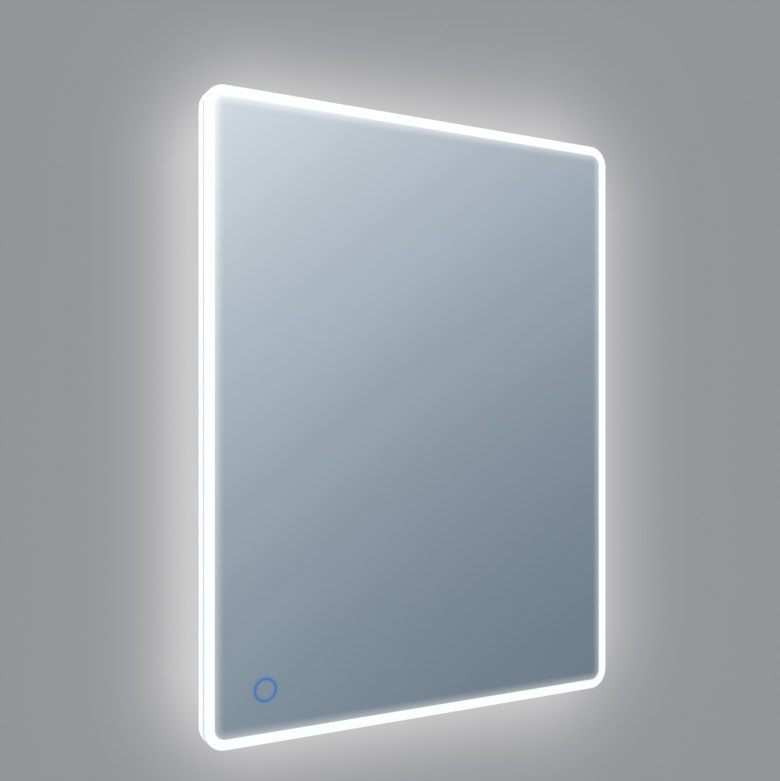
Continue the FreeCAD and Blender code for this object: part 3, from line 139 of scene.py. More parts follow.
class StageSettings(bpy.types.PropertyGroup):
    wall_colour: colour("Wall", "Backdrop behind the mirror", (0.291, 0.2985, 0.317))
    floor_colour: colour("Floor", "Floor under the mirror", (0.7, 0.7, 0.69))
    halo_colour: colour("Halo", "Light of the diffuser on the wall", (0.318, 0.302, 0.29))
    halo_left: length("Halo, left", "Reach of the halo at the left", 0.0445)
    halo_right: length("Halo, right", "Reach of the halo at the right", 0.0775)
    halo_corner: length("Halo corner", "Radius of the outline that the halo starts from", 0.083)
    drop: length("Drop", "Height of the mirror's middle over the floor", 1.15)
    focal_length: FloatProperty(name="Focal length", description="Of the camera, on a 36 mm sensor, in mm",
                                default=44.25, min=10, max=300)
    camera_place: FloatVectorProperty(name="Camera", description="Place of the camera", size=3,
                                      subtype="TRANSLATION", unit="LENGTH", default=(-0.5301, -0.9389, 0.0))
    camera_turn: FloatProperty(name="Camera turn", description="Turn of the camera to the right",
                               subtype="ANGLE", unit="ROTATION", default=math.radians(28.23))
    horizon_shift: FloatProperty(name="Shift", description="Share of the frame that the lens is raised by",
                                 default=0.0346, min=-0.2, max=0.2)


# ---- patterns in node trees

BEVEL_SAMPLES = 4
NOISE_LOW, NOISE_HIGH = 0.3, 0.7  # most of a noise lies between these values


def feed(socket, value):
    """Links a node's input to a pattern, or sets it to a number, a vector or a colour."""
    if isinstance(value, Pattern):
        socket.id_data.links.new(value.socket, socket)
    else:
        socket.default_value = (*value, 1.0) if socket.type == "RGBA" else value


def node(tree, kind, inputs=None, output=0, **settings):
    """One output of a new shader node with its settings, its inputs fed by name or number."""
    made = tree.nodes.new("ShaderNode" + kind)
    for name, value in settings.items():
        setattr(made, name, value)
    for key, value in (inputs or {}).items():
        feed(made.inputs[key], value)
    return Pattern(made.outputs[output])


class Pattern:
    """What a node puts out over a surface. Arithmetic on it adds nodes to its tree."""

    def __init__(self, socket):
        self.socket = socket
        self.tree = socket.id_data

    def step(self, operation, *others, output=0):
        """The result of one step of arithmetic, on vectors where this is one."""
        kind = "VectorMath" if self.socket.type == "VECTOR" else "Math"
        return node(self.tree, kind, dict(enumerate((self, *others))), output, operation=operation)

    __add__ = partialmethod(step, "ADD")
    __sub__ = partialmethod(step, "SUBTRACT")
    __mul__ = partialmethod(step, "MULTIPLY")
    __truediv__ = partialmethod(step, "DIVIDE")
    __pow__ = partialmethod(step, "POWER")
    __abs__ = partialmethod(step, "ABSOLUTE")
    at_least = partialmethod(step, "MAXIMUM")
    at_most = partialmethod(step, "MINIMUM")
    length = partialmethod(step, "LENGTH", output="Value")

    def __rsub__(self, number):
        return node(self.tree, "Math", {0: number, 1: self}, operation="SUBTRACT")

    def clamped(self):
        """The result of this step of arithmetic, held between 0 and 1."""
        self.socket.node.use_clamp = True
        return self

    def parts(self):
        """The X, Y and Z of this vector."""
        separate = node(self.tree, "SeparateXYZ", {0: self}).socket.node
        return [Pattern(socket) for socket in separate.outputs]

    def rise(self, start, end, low=0.0, high=1.0, smooth=True):
        """Goes from low where this is at start to high where it is at end."""
        ends = {"From Min": start, "From Max": end, "To Min": low, "To Max": high}
        return node(self.tree, "MapRange", {"Value": self, **ends},
                    interpolation_type="SMOOTHSTEP" if smooth else "LINEAR")

    def fall(self, start, end, high=1.0, low=0.0, smooth=True):
        """Goes from high where this is at start to low where it is at end."""
        return self.rise(start, end, high, low, smooth)

    def spread(self, low=0.0, high=1.0):
        """Goes from low to high over the values that a noise mostly has."""
        return self.rise(NOISE_LOW, NOISE_HIGH, low, high)

    def noise(self, scale, detail=3, roughness=0.5):
        """Soft random values from 0 to 1 over this vector, scale of them to a metre."""
        inputs = {"Vector": self, "Scale": scale, "Detail": detail, "Roughness": roughness}
        return node(self.tree, "TexNoise", inputs, "Fac")

    def cells(self, scale):
        """Distance from the middle of the nearest of random cells, scale of them to a metre."""
        return node(self.tree, "TexVoronoi", {"Vector": self, "Scale": scale}, "Distance")


def blend_colours(share, first, second, way="MIX"):
    """The second colour over the first one, by share."""
    tree = next(each.tree for each in (share, first, second) if isinstance(each, Pattern))
    return node(tree, "Mix", {0: share, 6: first, 7: second}, 2, data_type="RGBA", blend_type=way,
                clamp_result=False)


def layered(base, *layers):
    """A base colour with layers over it, each a share and a colour."""
    for share, over in layers:
        base = blend_colours(share, base, over)
    return base


def product(first, second):
    """One colour or value times another."""
    return blend_colours(1.0, first, second, "MULTIPLY")


def true_normal(tree):
    """The normal of the surface."""
    return node(tree, "NewGeometry", output="Normal")


class Finish:
    """A material with a Principled shader, and place, the piece's own coordinates."""

    def __init__(self, name):
        self.material = bpy.data.materials.new(name)
        self.material.use_nodes = True
        self.tree = tree = self.material.node_tree
        tree.nodes.clear()
        self.shader = tree.nodes.new("ShaderNodeBsdfPrincipled")
        self.output = tree.nodes.new("ShaderNodeOutputMaterial")
        tree.links.new(self.shader.outputs["BSDF"], self.output.inputs["Surface"])
        self.place = node(tree, "TexCoord", output="Object")

    def shaded(self, inputs):
        """The material, once the shader's inputs are fed by name."""
        for name, value in inputs.items():
            feed(self.shader.inputs[name], value)
        return self.material

    def bump(self, height, distance, strength=0.5, rounding=0.0):
        """Raises the surface by height times distance, over edges that look rounded."""
        inputs = {"Height": height, "Distance": distance, "Strength": strength}
        if rounding > 0:
            inputs["Normal"] = node(self.tree, "Bevel", {"Radius": rounding}, samples=BEVEL_SAMPLES)
        feed(self.shader.inputs["Normal"], node(self.tree, "Bump", inputs))


# ---- shared groups

def input_label(name):
    """The label of a group's input, from the name of its parameter."""
    return name.replace("_", " ").title()


def new_group(build, values):
    """A node group with a vector and these values as inputs, and what build makes of them as outputs."""
    group = bpy.data.node_groups.new(build.__name__, "ShaderNodeTree")
    new_socket = group.interface.new_socket
    new_socket(name="Vector", in_out="INPUT", socket_type="NodeSocketVector")
    for name in values:
        new_socket(name=input_label(name), in_out="INPUT", socket_type="NodeSocketFloat")
    taken = group.nodes.new("NodeGroupInput").outputs
    results = build(Pattern(taken["Vector"]), **{name: Pattern(taken[input_label(name)]) for name in values})
    for label in results:
        new_socket(name=label, in_out="OUTPUT", socket_type="NodeSocketFloat")
    given = group.nodes.new("NodeGroupOutput").inputs
    for label, result in results.items():
        feed(given[label], result)
    return group


def shared_group(build):
    """Makes a function of patterns a node group, built once and placed in the vector's tree at each call,
    which gives its outputs by label."""
    def placed(vector, **values):
        made = vector.tree.nodes.new("ShaderNodeGroup")
        made.node_tree = bpy.data.node_groups.get(build.__name__) or new_group(build, values)
        feed(made.inputs["Vector"], vector)
        for name, value in values.items():
            feed(made.inputs[input_label(name)], value)
        return {socket.name: Pattern(socket) for socket in made.outputs}
    return placed


@shared_group
def rim_distance(vector, half_width, half_height, corner_radius):
    """Depth inside the mirror's rounded outline: corner radius less the length of what sticks out of the
    rectangle of the corners' middles, and more of it where nothing sticks out."""
    across, _, up = vector.parts()
    over_x = abs(across) - half_width + corner_radius
    over_z = abs(up) - half_height + corner_radius
    outside = (over_x.at_least(0) ** 2 + over_z.at_least(0) ** 2).step("SQRT")
    inside = over_x.at_least(over_z).at_most(0)
    return {"Distance": corner_radius - (outside + inside)}


@shared_group
def edge_wear(vector, radius, amount):
    """1 on worn outer edges and 0 on flats: how far the rounded normal turns from the true one, broken up
    by noise."""
    rounded = node(vector.tree, "Bevel", {"Radius": radius}, samples=BEVEL_SAMPLES)
    likeness = rounded.step("DOT_PRODUCT", true_normal(vector.tree), output="Value")
    patches = vector.noise(240, detail=5, roughness=0.65).rise(0.42, 0.62)
    return {"Mask": (likeness.fall(0.85, 0.995) * patches * amount).clamped()}


@shared_group
def fine_dust(vector, amount):
    """A thin uneven layer of dust, thicker on faces that look up."""
    lying = true_normal(vector.tree).parts()[2].rise(-0.2, 1, low=0.15)
    clouds = vector.noise(14, detail=6, roughness=0.6).rise(0.35, 0.75)
    grains = vector.noise(1500, detail=2).rise(0.45, 0.75, low=0.4)
    return {"Mask": (clouds * grains * lying * amount).clamped()}


@shared_group
def moulded_grain(vector, scale):
    """Fine grain of a moulded or coated face: a height, and a slow unevenness of its shade."""
    fineness, fine_share = 3.3, 0.3
    coarse = vector.noise(scale, detail=2, roughness=0.4)
    fine = vector.noise(scale * fineness)
    slow = vector.noise(9, detail=4, roughness=0.55)
    return {"Height": coarse * (1 - fine_share) + fine * fine_share, "Unevenness": slow}


# ---- materials of the glass and its light

SPILL_POWER = 1.6  # how steeply the spilt light falls away from the band


def silvered_glass(settings):
    """Silvering that mirrors the room, a frosted band that is lit along the rim, light spilt beside it,
    the switch's lit ring with a painted glow round it, a pale green ground edge and grey backing paint."""
    finish = Finish("silvered_glass_finish")
    place = finish.place
    depth = place.parts()[1]
    width = settings.band_width
    inside = rim_distance(place, half_width=HALF_WIDTH - width, half_height=HALF_HEIGHT - width,
                          corner_radius=settings.corner_radius - width)["Distance"]
    band = inside.fall(-0.5 * MM, 0.45 * MM)
    spill = inside.fall(0, settings.glow_reach, smooth=False) ** SPILL_POWER
    edge = depth.rise(GLASS_FRONT + 0.1 * MM, GLASS_FRONT + 0.5 * MM)
    back = depth.rise(GLASS_BACK - 0.1 * MM, GLASS_BACK - 0.02 * MM)

    half_stroke = settings.ring_stroke / 2
    off_ring = abs((place - (RING_MIDDLE.x, GLASS_FRONT, RING_MIDDLE.z)).length() - settings.ring_radius)
    stroke = off_ring.fall(0.35 * half_stroke, 1.5 * half_stroke)
    # Beyond the stroke, a painted glow of the ring's light on the glass; it also dims the silvering a
    # little.
    ring_glow = off_ring.fall(half_stroke, 3.2 * half_stroke, high=0.17)
    ring = stroke.at_least(ring_glow)

    clouds = place.noise(4, detail=4, roughness=0.55)
    smears = (place * (1, 1, 0.3)).noise(38, detail=5, roughness=0.6)
    etched = place.noise(2600, detail=2)
    cloudy_silver, dim_frost = (0.78, 0.83, 0.86), (0.17, 0.18, 0.18)
    deep_side, unlit_ring = (0.07, 0.095, 0.09), (0.02, 0.025, 0.03)
    silver = layered(settings.silver_tint, (clouds.spread(high=0.05), cloudy_silver))
    frost = layered(settings.frost_colour, (etched.spread(), dim_frost))
    side = layered(settings.side_colour, (place.noise(60).spread(), deep_side))
    edge_mattness, matt_roughness = 0.6, 0.45
    matt = band.at_least(back).at_least(edge * edge_mattness)

    half_thickness = (GLASS_BACK - GLASS_FRONT) / 2
    core = abs(depth - (GLASS_FRONT + GLASS_BACK) / 2).rise(0, half_thickness, low=0.96, high=1.06)
    lit_edge = product(settings.edge_colour, core)
    finish.bump(etched * band, 0.012 * MM)
    return finish.shaded({
        "Base Color": layered(silver, (band, frost), (ring, unlit_ring), (edge, side),
                              (back, settings.paint_colour)),
        "Metallic": (1 - band.at_least(edge)).clamped(),
        "Roughness": smears.rise(0.35, 0.8, low=0.012, high=0.045) + matt * matt_roughness,
        "Emission Color": layered(BLACK, (spill, settings.spill_colour), (ring, settings.ring_colour),
                                  (band, settings.band_colour), (edge, lit_edge), (back, BLACK)),
        "Emission Strength": 1, "IOR": 1.52, "Specular IOR Level": 0.25,
    })


def diode_phase(position, pitch):
    """Distance along a strip from the nearest diode: the diodes lie half a pitch to each side of the
    strip's middle, and a pitch apart."""
    return (position + pitch / 2).step("PINGPONG", pitch / 2)


def opal_acrylic(settings):
    """Milky acrylic lit from inside: an even glow with a faint ripple of the diodes behind it."""
    finish = Finish("opal_acrylic_finish")
    across, depth, up = finish.place.parts()
    upright = abs(across).rise(HALF_WIDTH - 4 * MM, HALF_WIDTH - 2 * MM)
    near_across = diode_phase(across, settings.diode_pitch)
    near_up = diode_phase(up, settings.diode_pitch)
    near = node(finish.tree, "Mix", {0: upright, 2: near_across, 3: near_up}, data_type="FLOAT")
    front, rear = DIFFUSER_LOW.y, DIFFUSER_HIGH.y
    tone = abs(depth - (front + rear) / 2).fall(2 * MM, (rear - front) / 2, low=0.95)
    ripple = near.fall(0, settings.diode_pitch / 2, low=0.98)
    clouds = finish.place.noise(30, detail=4)
    dim_milk = (0.33, 0.345, 0.345)
    grain = moulded_grain(finish.place, scale=1200)
    finish.bump(grain["Height"], 0.02 * MM, strength=0.4)
    return finish.shaded({
        "Base Color": layered(settings.opal_colour, (clouds.spread(), dim_milk)),
        "Roughness": grain["Unevenness"].spread(0.32, 0.42),
        "Emission Color": product(settings.opal_light, tone * ripple), "Emission Strength": 1,
    })


def diode_board(settings, long_axis):
    """White solder mask with a diode at each pitch along the strip and tinned pads beside it."""
    finish = Finish("led_board_" + long_axis.lower())
    place = finish.place
    across, depth, up = place.parts()
    near = diode_phase(across if long_axis == "X" else up, settings.diode_pitch)
    off_line = abs(depth - (STRIP_LOW.y + STRIP_HIGH.y) / 2)
    lens = near.fall(1.2 * MM, 1.35 * MM) * off_line.fall(1 * MM, 1.15 * MM)
    pad_place = 6 * MM
    pads = abs(near - pad_place).fall(0.8 * MM, 1 * MM) * off_line.fall(1.2 * MM, 1.4 * MM)
    dull_mask, tin = (0.74, 0.75, 0.72), (0.62, 0.6, 0.55)
    finish.bump(lens, 0.3 * MM)
    return finish.shaded({
        "Base Color": layered(settings.mask_colour, (place.noise(90).spread(), dull_mask), (pads, tin),
                              (lens, settings.phosphor_colour)),
        "Metallic": pads,
        "Roughness": place.noise(300).spread(0.35, 0.5),
    })


def light_guide(settings):
    """Clear acrylic ring that carries the switch's blue light."""
    finish = Finish("light_guide_finish")
    tone = finish.place.noise(200).spread(0.75, 1)
    shaded, clear = (0.35, 0.42, 0.5), (0.55, 0.62, 0.7)
    return finish.shaded({
        "Base Color": layered(shaded, (tone, clear)),
        "Roughness": finish.place.noise(500).spread(0.08, 0.2),
        "Emission Color": product(settings.ring_colour, tone), "Emission Strength": 0.8,
    })


# ---- materials of metal

def anodised_aluminium(settings, long_axis):
    """Satin anodised extrusion: fine drawn lines along its length and slow changes of shade."""
    finish = Finish("anodised_aluminium_" + long_axis.lower())
    place = finish.place
    along = 0.02
    stretch = (along, 1, 1) if long_axis == "X" else (1, 1, along)
    drawn = (place * stretch).noise(2400, roughness=0.6)
    slow = place.noise(7, detail=4)
    worn = edge_wear(place, radius=0.4 * MM, amount=0.8)["Mask"]
    drawn_grey, warm_grey, bright = (0.47, 0.48, 0.5), (0.6, 0.6, 0.59), (0.74, 0.75, 0.76)
    worn_polish = 0.12
    finish.bump(drawn, 0.01 * MM, rounding=0.25 * MM)
    return finish.shaded({
        "Base Color": layered(settings.anodised_colour, (drawn.spread(), drawn_grey),
                              (slow.rise(0.35, 0.7, high=0.35), warm_grey), (worn, bright)),
        "Roughness": drawn.rise(0.25, 0.75, low=0.34, high=0.48) - worn * worn_polish,
        "Metallic": 0.85,
    })


def powder_coat(settings):
    """Grey powder coat: orange-peel skin, a slow change of shade, bright steel where it is worn off at edges
    and where the wall's screws have rubbed beside the keyholes, and dust."""
    finish = Finish("coated_sheet_steel_finish")
    place = finish.place
    across, _, up = place.parts()
    grain = moulded_grain(place, scale=620)
    worn = edge_wear(place, radius=0.5 * MM, amount=0.7)["Mask"]
    dust = fine_dust(place, amount=0.3)["Mask"]

    folded = node(finish.tree, "CombineXYZ", {"X": abs(across), "Z": up})
    from_keyhole = (folded - (KEYHOLE.x, 0, KEYHOLE.z)).length()
    scratches = (place * (1, 1, 0.16)).noise(900, detail=4, roughness=0.7)
    near_keyhole = from_keyhole.fall(9 * MM, 19 * MM, high=0.8)
    bare = worn.at_least(scratches.rise(0.53, 0.6) * near_keyhole)

    clouds = grain["Unevenness"].rise(0.32, 0.68, high=0.6)
    specks = place.noise(1900, detail=2).rise(0.64, 0.72, high=0.5)
    dim_coat, speck_grey = (0.375, 0.385, 0.395), (0.47, 0.48, 0.485)
    dust_grey, bare_steel, dust_roughness = (0.5, 0.49, 0.465), (0.52, 0.53, 0.55), 0.25
    finish.bump(grain["Height"], 0.07 * MM, strength=0.6, rounding=0.6 * MM)
    return finish.shaded({
        "Base Color": layered(settings.coat_colour, (clouds, dim_coat), (specks, speck_grey),
                              (dust, dust_grey), (bare, bare_steel)),
        "Metallic": bare,
        "Roughness": (grain["Height"].spread(0.38, 0.52) + dust * dust_roughness).clamped(),
    })


def zinc_plate(settings, name, line_length):
    """Bright zinc plating with soft cloudy patches, rolling lines and a little white bloom. The lower
    line_length is, the longer the lines are."""
    finish = Finish(name)
    place = finish.place
    rolled = (place * (1, 1, line_length)).noise(900, roughness=0.6)
    patches = place.cells(220) * 0.35
    bloom = place.noise(120, detail=6, roughness=0.7).rise(0.6, 0.72, high=0.6)
    worn = edge_wear(place, radius=0.3 * MM, amount=1)["Mask"]
    rolled_grey, patch_grey = (0.48, 0.5, 0.51), (0.68, 0.68, 0.63)
    bloom_white, bright = (0.66, 0.67, 0.67), (0.76, 0.77, 0.78)
    bloom_cover, bloom_roughness = 0.7, 0.4
    finish.bump(rolled, 0.01 * MM)
    return finish.shaded({
        "Base Color": layered(settings.zinc_colour, (rolled.spread(), rolled_grey),
                              (patches, patch_grey), (bloom, bloom_white), (worn, bright)),
        "Metallic": 1 - bloom * bloom_cover,
        "Roughness": rolled.spread(0.22, 0.36) + bloom * bloom_roughness,
    })


# ---- materials of mouldings and soft parts

# Shade that the colour changes to, grains to a metre, roughness between and on the grains, their height
MOULDINGS = {
    "led_jumper_finish": ((0.62, 0.62, 0.6), 900, (0.4, 0.55), 0.03 * MM),
    "keyhole_cup_finish": ((0.035, 0.035, 0.037), 1100, (0.5, 0.62), 0.04 * MM),
    "grommet_rubber_finish": ((0.04, 0.04, 0.041), 700, (0.6, 0.75), 0.06 * MM),
    "white_moulding_finish": ((0.66, 0.655, 0.62), 1000, (0.36, 0.5), 0.04 * MM),
    "black_moulding_finish": ((0.035, 0.035, 0.037), 1000, (0.42, 0.55), 0.04 * MM),
    "lead_sheath_finish": ((0.53, 0.53, 0.51), 1500, (0.35, 0.5), 0.02 * MM),
}


def moulding(name, base):
    """A moulded plastic or rubber face: spark-eroded grain, slow unevenness, paler edges and dust."""
    finish = Finish(name)
    place = finish.place
    shade, grain_scale, roughness, grain_height = MOULDINGS[name]
    grain = moulded_grain(place, scale=grain_scale)
    worn = edge_wear(place, radius=0.4 * MM, amount=0.6)["Mask"]
    dust = fine_dust(place, amount=0.35)["Mask"]
    mid_grey, dust_grey, dust_roughness = 0.5, (0.4, 0.39, 0.37), 0.3
    pale = [(part + mid_grey) / 2 for part in shade]
    finish.bump(grain["Height"], grain_height, strength=0.6, rounding=0.4 * MM)
    return finish.shaded({
        "Base Color": layered(base, (grain["Unevenness"].spread(), shade), (worn, pale), (dust, dust_grey)),
        "Roughness": (grain["Height"].spread(*roughness) + dust * dust_roughness).clamped(),
    })


def cell_foam(settings):
    """Closed-cell foam: small round cells, matt, with painted shade in their hollows."""
    finish = Finish("foam_finish")
    cells = finish.place.cells(1400)
    # Grey on the cells' rims and the foam colour in their hollows, following the bump: painted shade in the
    # hollows.
    cell_grey = (0.09, 0.09, 0.095)
    finish.bump(cells, 0.15 * MM, strength=0.8)
    return finish.shaded({
        "Base Color": layered(settings.foam_colour, (cells.rise(0.1, 0.7), cell_grey)),
        "Roughness": cells.rise(0, 0.7, low=0.85),
    })


def backing_film(settings):
    """Grey film with a woven scrim under it and a few flat creases, each with painted shade on one side."""
    finish = Finish("safety_film_finish")
    place = finish.place
    across, _, up = place.parts()
    threads, thread_share, crease_shade_share = math.tau / (4 * MM), 0.5, 0.12
    scrim = (up * threads).step("COSINE").at_least((across * threads).step("COSINE")).rise(0.8, 1)
    # The film is darker on one side of each crease: painted shade.
    creases = place.noise(11, detail=6, roughness=0.7).rise(0.49, 0.51)
    thread_grey, crease_shade = (0.52, 0.54, 0.57), (0.3, 0.31, 0.34)
    finish.bump(scrim + creases, 0.03 * MM, strength=0.6)
    return finish.shaded({
        "Base Color": layered(settings.film_colour, (scrim * thread_share, thread_grey),
                              (creases * crease_shade_share, crease_shade)),
        "Roughness": scrim.rise(0, 1, low=0.45, high=0.6),
    })


def heating_foil(settings):
    """Clear amber film over an etched heating track that runs to and fro."""
    finish = Finish("heating_foil_finish")
    place = finish.place
    across, _, up = place.parts()
    low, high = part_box("demister_pad")
    row_pitch, track_metal = 9 * MM, 0.8
    rows = (up * (math.tau / row_pitch)).step("COSINE")
    to_side = (high.x - low.x) / 2 - abs(across)
    track = rows.rise(-0.15, 0.05) * to_side.rise(6 * MM, 7 * MM)
    deep_amber, track_grey = (0.62, 0.57, 0.49), (0.58, 0.59, 0.6)
    finish.bump(track, 0.04 * MM, strength=0.7)
    return finish.shaded({
        "Base Color": layered(settings.foil_colour, (place.noise(25).spread(), deep_amber),
                              (track, track_grey)),
        "Metallic": track * track_metal,
        "Roughness": place.noise(400).spread(0.25, 0.4),
    })


def printed_board(settings, name):
    """Green solder mask with traces on the flat, and dark or amber components that stand on it."""
    finish = Finish(name + "_finish")
    place = finish.place
    board_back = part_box(name)[1].y
    raised = place.parts()[1].fall(board_back - 2 * MM, board_back - 1.8 * MM)
    flat = abs(true_normal(finish.tree).parts()[1]).rise(0.5, 0.9, low=0.7)
    turned = node(finish.tree, "Mapping", {"Vector": place, "Rotation": (math.pi / 2, 0, 0)})
    traces = node(finish.tree, "TexBrick", {
        "Vector": turned, "Color1": (0.03, 0.19, 0.08), "Color2": (0.02, 0.12, 0.05),
        "Mortar": (0.05, 0.26, 0.11), "Scale": 240, "Mortar Size": 0.06}, "Color")
    dark, amber, trace_share = (0.03, 0.03, 0.035), (0.45, 0.3, 0.06), 0.6
    components = layered(dark, (place.noise(45).rise(0.45, 0.5), amber))
    finish.bump(place.noise(800), 0.05 * MM, strength=0.4)
    return finish.shaded({
        "Base Color": layered(settings.board_colour, (trace_share, traces), (raised * flat, components)),
        "Roughness": place.noise(350).spread(0.25, 0.45),
    })


# ---- pieces

SHARP_TURN = math.radians(30)
CORNER_STEPS = 28  # steps of the outline round a corner
SHOULDER = 0.3  # share of an arris at which its middle row of points lies
CAP_RADIUS = 0.5 * MM  # radius left in the corners where the fan of a face begins

# The cover's screws: depths and lengths run along the axis, and shares are of a radius
HEAD_SHARES = (0.0, 0.3, 0.6, 0.82, 0.93, 0.98, 1.0)  # rings of the head, from the recess to the rim
DOME_SHARPNESS, DOME_FULLNESS = 3.2, 2.2
RECESS_DEPTH, RECESS_POINT = 1.05 * MM, 0.1 * MM
RECESS_FLOOR = 0.5  # width of the recess's floor over that of its mouth
SHANK_SHARE = 0.5
THREAD_ROWS = 44
THREAD_START, THREAD_END = 0.4 * MM, 1.2 * MM  # lengths over which the thread begins and ends
TIP_LENGTH, TIP_SHARE = 0.9 * MM, 0.45
SCREW_TURN = math.radians(137.5)  # turn from one screw's recess to the next


def finish_nodes(material, *names):
    """Gives CAD nodes their material."""
    for name in names:
        slots = NODES[name].data.materials
        slots.clear()
        slots.append(material)


def new_object(name, data):
    """A new object of the scene."""
    made = bpy.data.objects.new(name, data)
    bpy.context.scene.collection.objects.link(made)
    return made


def mesh_piece(name, points, faces):
    """A piece made of points and faces, smooth but for edges that turn by more than SHARP_TURN."""
    mesh = bpy.data.meshes.new(name)
    mesh.from_pydata(points.tolist(), [], faces)
    if mesh.validate():
        raise RuntimeError(name + " has faulty faces")
    mesh.shade_smooth()
    mesh.set_sharp_from_angle(angle=SHARP_TURN)
    return new_object(name, mesh)


def stand_in_for(piece, node_name, material):
    """Lets a new piece take the place of a CAD node."""
    piece.data.materials.append(material)
    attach(piece, "root")
    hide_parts(node_name)


def carried_rows(rows, radius):
    """A profile carried round the mirror's outline. Each row is an inset, a depth and a squareness. A point
    is the middle of its corner plus (radius - inset) times a unit direction, and squareness stretches that
    towards the square round the circle, which is one over the larger part of the direction."""
    inset, depth, squareness = np.array(rows, float).T[:, :, None]
    turn = np.linspace(0, math.pi / 2, CORNER_STEPS + 1) + np.arange(4)[:, None] * math.pi / 2
    right, up = np.cos(turn).ravel(), np.sin(turn).ravel()
    to_right = np.repeat((1, -1, -1, 1), CORNER_STEPS + 1)
    to_top = np.repeat((1, 1, -1, -1), CORNER_STEPS + 1)
    stretch = 1 + squareness * (1 / np.maximum(np.abs(right), np.abs(up)) - 1)
    reach = (radius - inset) * stretch
    across = to_right * (HALF_WIDTH - radius) + reach * right
    height = to_top * (HALF_HEIGHT - radius) + reach * up
    return np.stack([across, np.broadcast_to(depth, across.shape), height], axis=-1)


def grid_faces(rows, columns, closed=False):
    """Quads between the points of a grid that closes round its columns, and round its rows if told so."""
    count = rows if closed else rows - 1
    row, column = np.meshgrid(np.arange(count), np.arange(columns), indexing="ij")
    after = (column + 1) % columns
    here, below = row * columns, (row + 1) % rows * columns
    corners = [here + column, here + after, below + after, below + column]
    return np.stack(corners, axis=-1).reshape(-1, 4)


def cap_faces(columns, first, pole, forward):
    """Triangles from a pole to one row of a grid."""
    column = np.arange(columns)
    here, after = first + column, first + (column + 1) % columns
    pair = (here, after) if forward else (after, here)
    return np.stack([np.full(columns, pole), *pair], axis=-1)


def capped_grid_faces(rows, columns):
    """Quads of a grid, and the fans from two poles, the next points after it, to its first and last row."""
    poles = rows * columns
    return [grid_faces(rows, columns), cap_faces(columns, 0, poles, False),
            cap_faces(columns, poles - columns, poles + 1, True)]


def glass_sheet(settings):
    """The glass: its profile runs over the back, round the ground side and over the front, with a rounded
    arris at both edges, is carried round the outline and closed by a fan at the middle of each face."""
    arris, radius = settings.arris, settings.corner_radius
    near = SHOULDER * arris
    half = [(radius - CAP_RADIUS, 0.0), (settings.band_width, 0.0), (arris, 0.0), (near, near), (0.0, arris)]
    back = [(inset, GLASS_BACK - deep, 0.0) for inset, deep in half]
    front = [(inset, GLASS_FRONT + deep, 0.0) for inset, deep in reversed(half)]
    grid = carried_rows(back + front, radius)
    points = np.vstack([grid.reshape(-1, 3), [(0, GLASS_BACK, 0), (0, GLASS_FRONT, 0)]])
    faces = [face for part in capped_grid_faces(*grid.shape[:2]) for face in part.tolist()]
    return mesh_piece("silvered_sheet", points, faces)


def opal_channel(settings, radius):
    """The diffuser: a C profile with a groove for the frame's lip in its rear web, carried round the
    outline. The groove has square corners, as the mitred lip has."""
    front, rear = DIFFUSER_LOW.y, DIFFUSER_HIGH.y
    web_front, web_rear = front + settings.front_web, rear - settings.rear_web
    floor = rear - settings.groove_depth
    front_arris, rear_arris = 0.3 * MM, 0.6 * MM
    front_near, rear_near = SHOULDER * front_arris, SHOULDER * rear_arris
    wall, reach = settings.wall, settings.web_reach
    groove_in, groove_out = settings.groove_in, settings.groove_out
    rows = [
        (rear_arris, rear, 0), (rear_near, rear - rear_near, 0), (0, rear - rear_arris, 0),
        (0, front + front_arris, 0), (front_near, front + front_near, 0), (front_arris, front, 0),
        (reach, front, 0), (reach, web_front, 0), (wall, web_front, 0), (wall, web_rear, 0),
        (reach, web_rear, 0), (reach, rear, 0), (groove_in, rear, 1), (groove_in, floor, 1),
        (groove_out, floor, 1), (groove_out, rear, 1),
    ]
    grid = carried_rows(rows, radius)
    faces = grid_faces(*grid.shape[:2], closed=True).tolist()
    return mesh_piece("opal_channel", grid.reshape(-1, 3), faces)


def screw_places():
    """Middle and head radius of each of the cover's screws, from the points of their node: a screw is known
    by its side, its half and whether it lies near the end of the mirror."""
    mesh = NODES["cover_screws"].data
    points = np.empty(len(mesh.vertices) * 3)
    mesh.vertices.foreach_get("co", points)
    points = points.reshape(-1, 3)
    across, height = points[:, 0], points[:, 2]
    end_share = 0.8
    near_end = np.abs(height) > end_share * np.abs(height).max()
    key = (across > 0) + 2 * (height > 0) + 4 * near_end
    groups = [points[key == each] for each in np.unique(key)]
    middles = np.array([(group.min(axis=0) + group.max(axis=0)) / 2 for group in groups])
    return middles[:, [0, 2]], np.ptp(groups[0][:, 0]) / 2


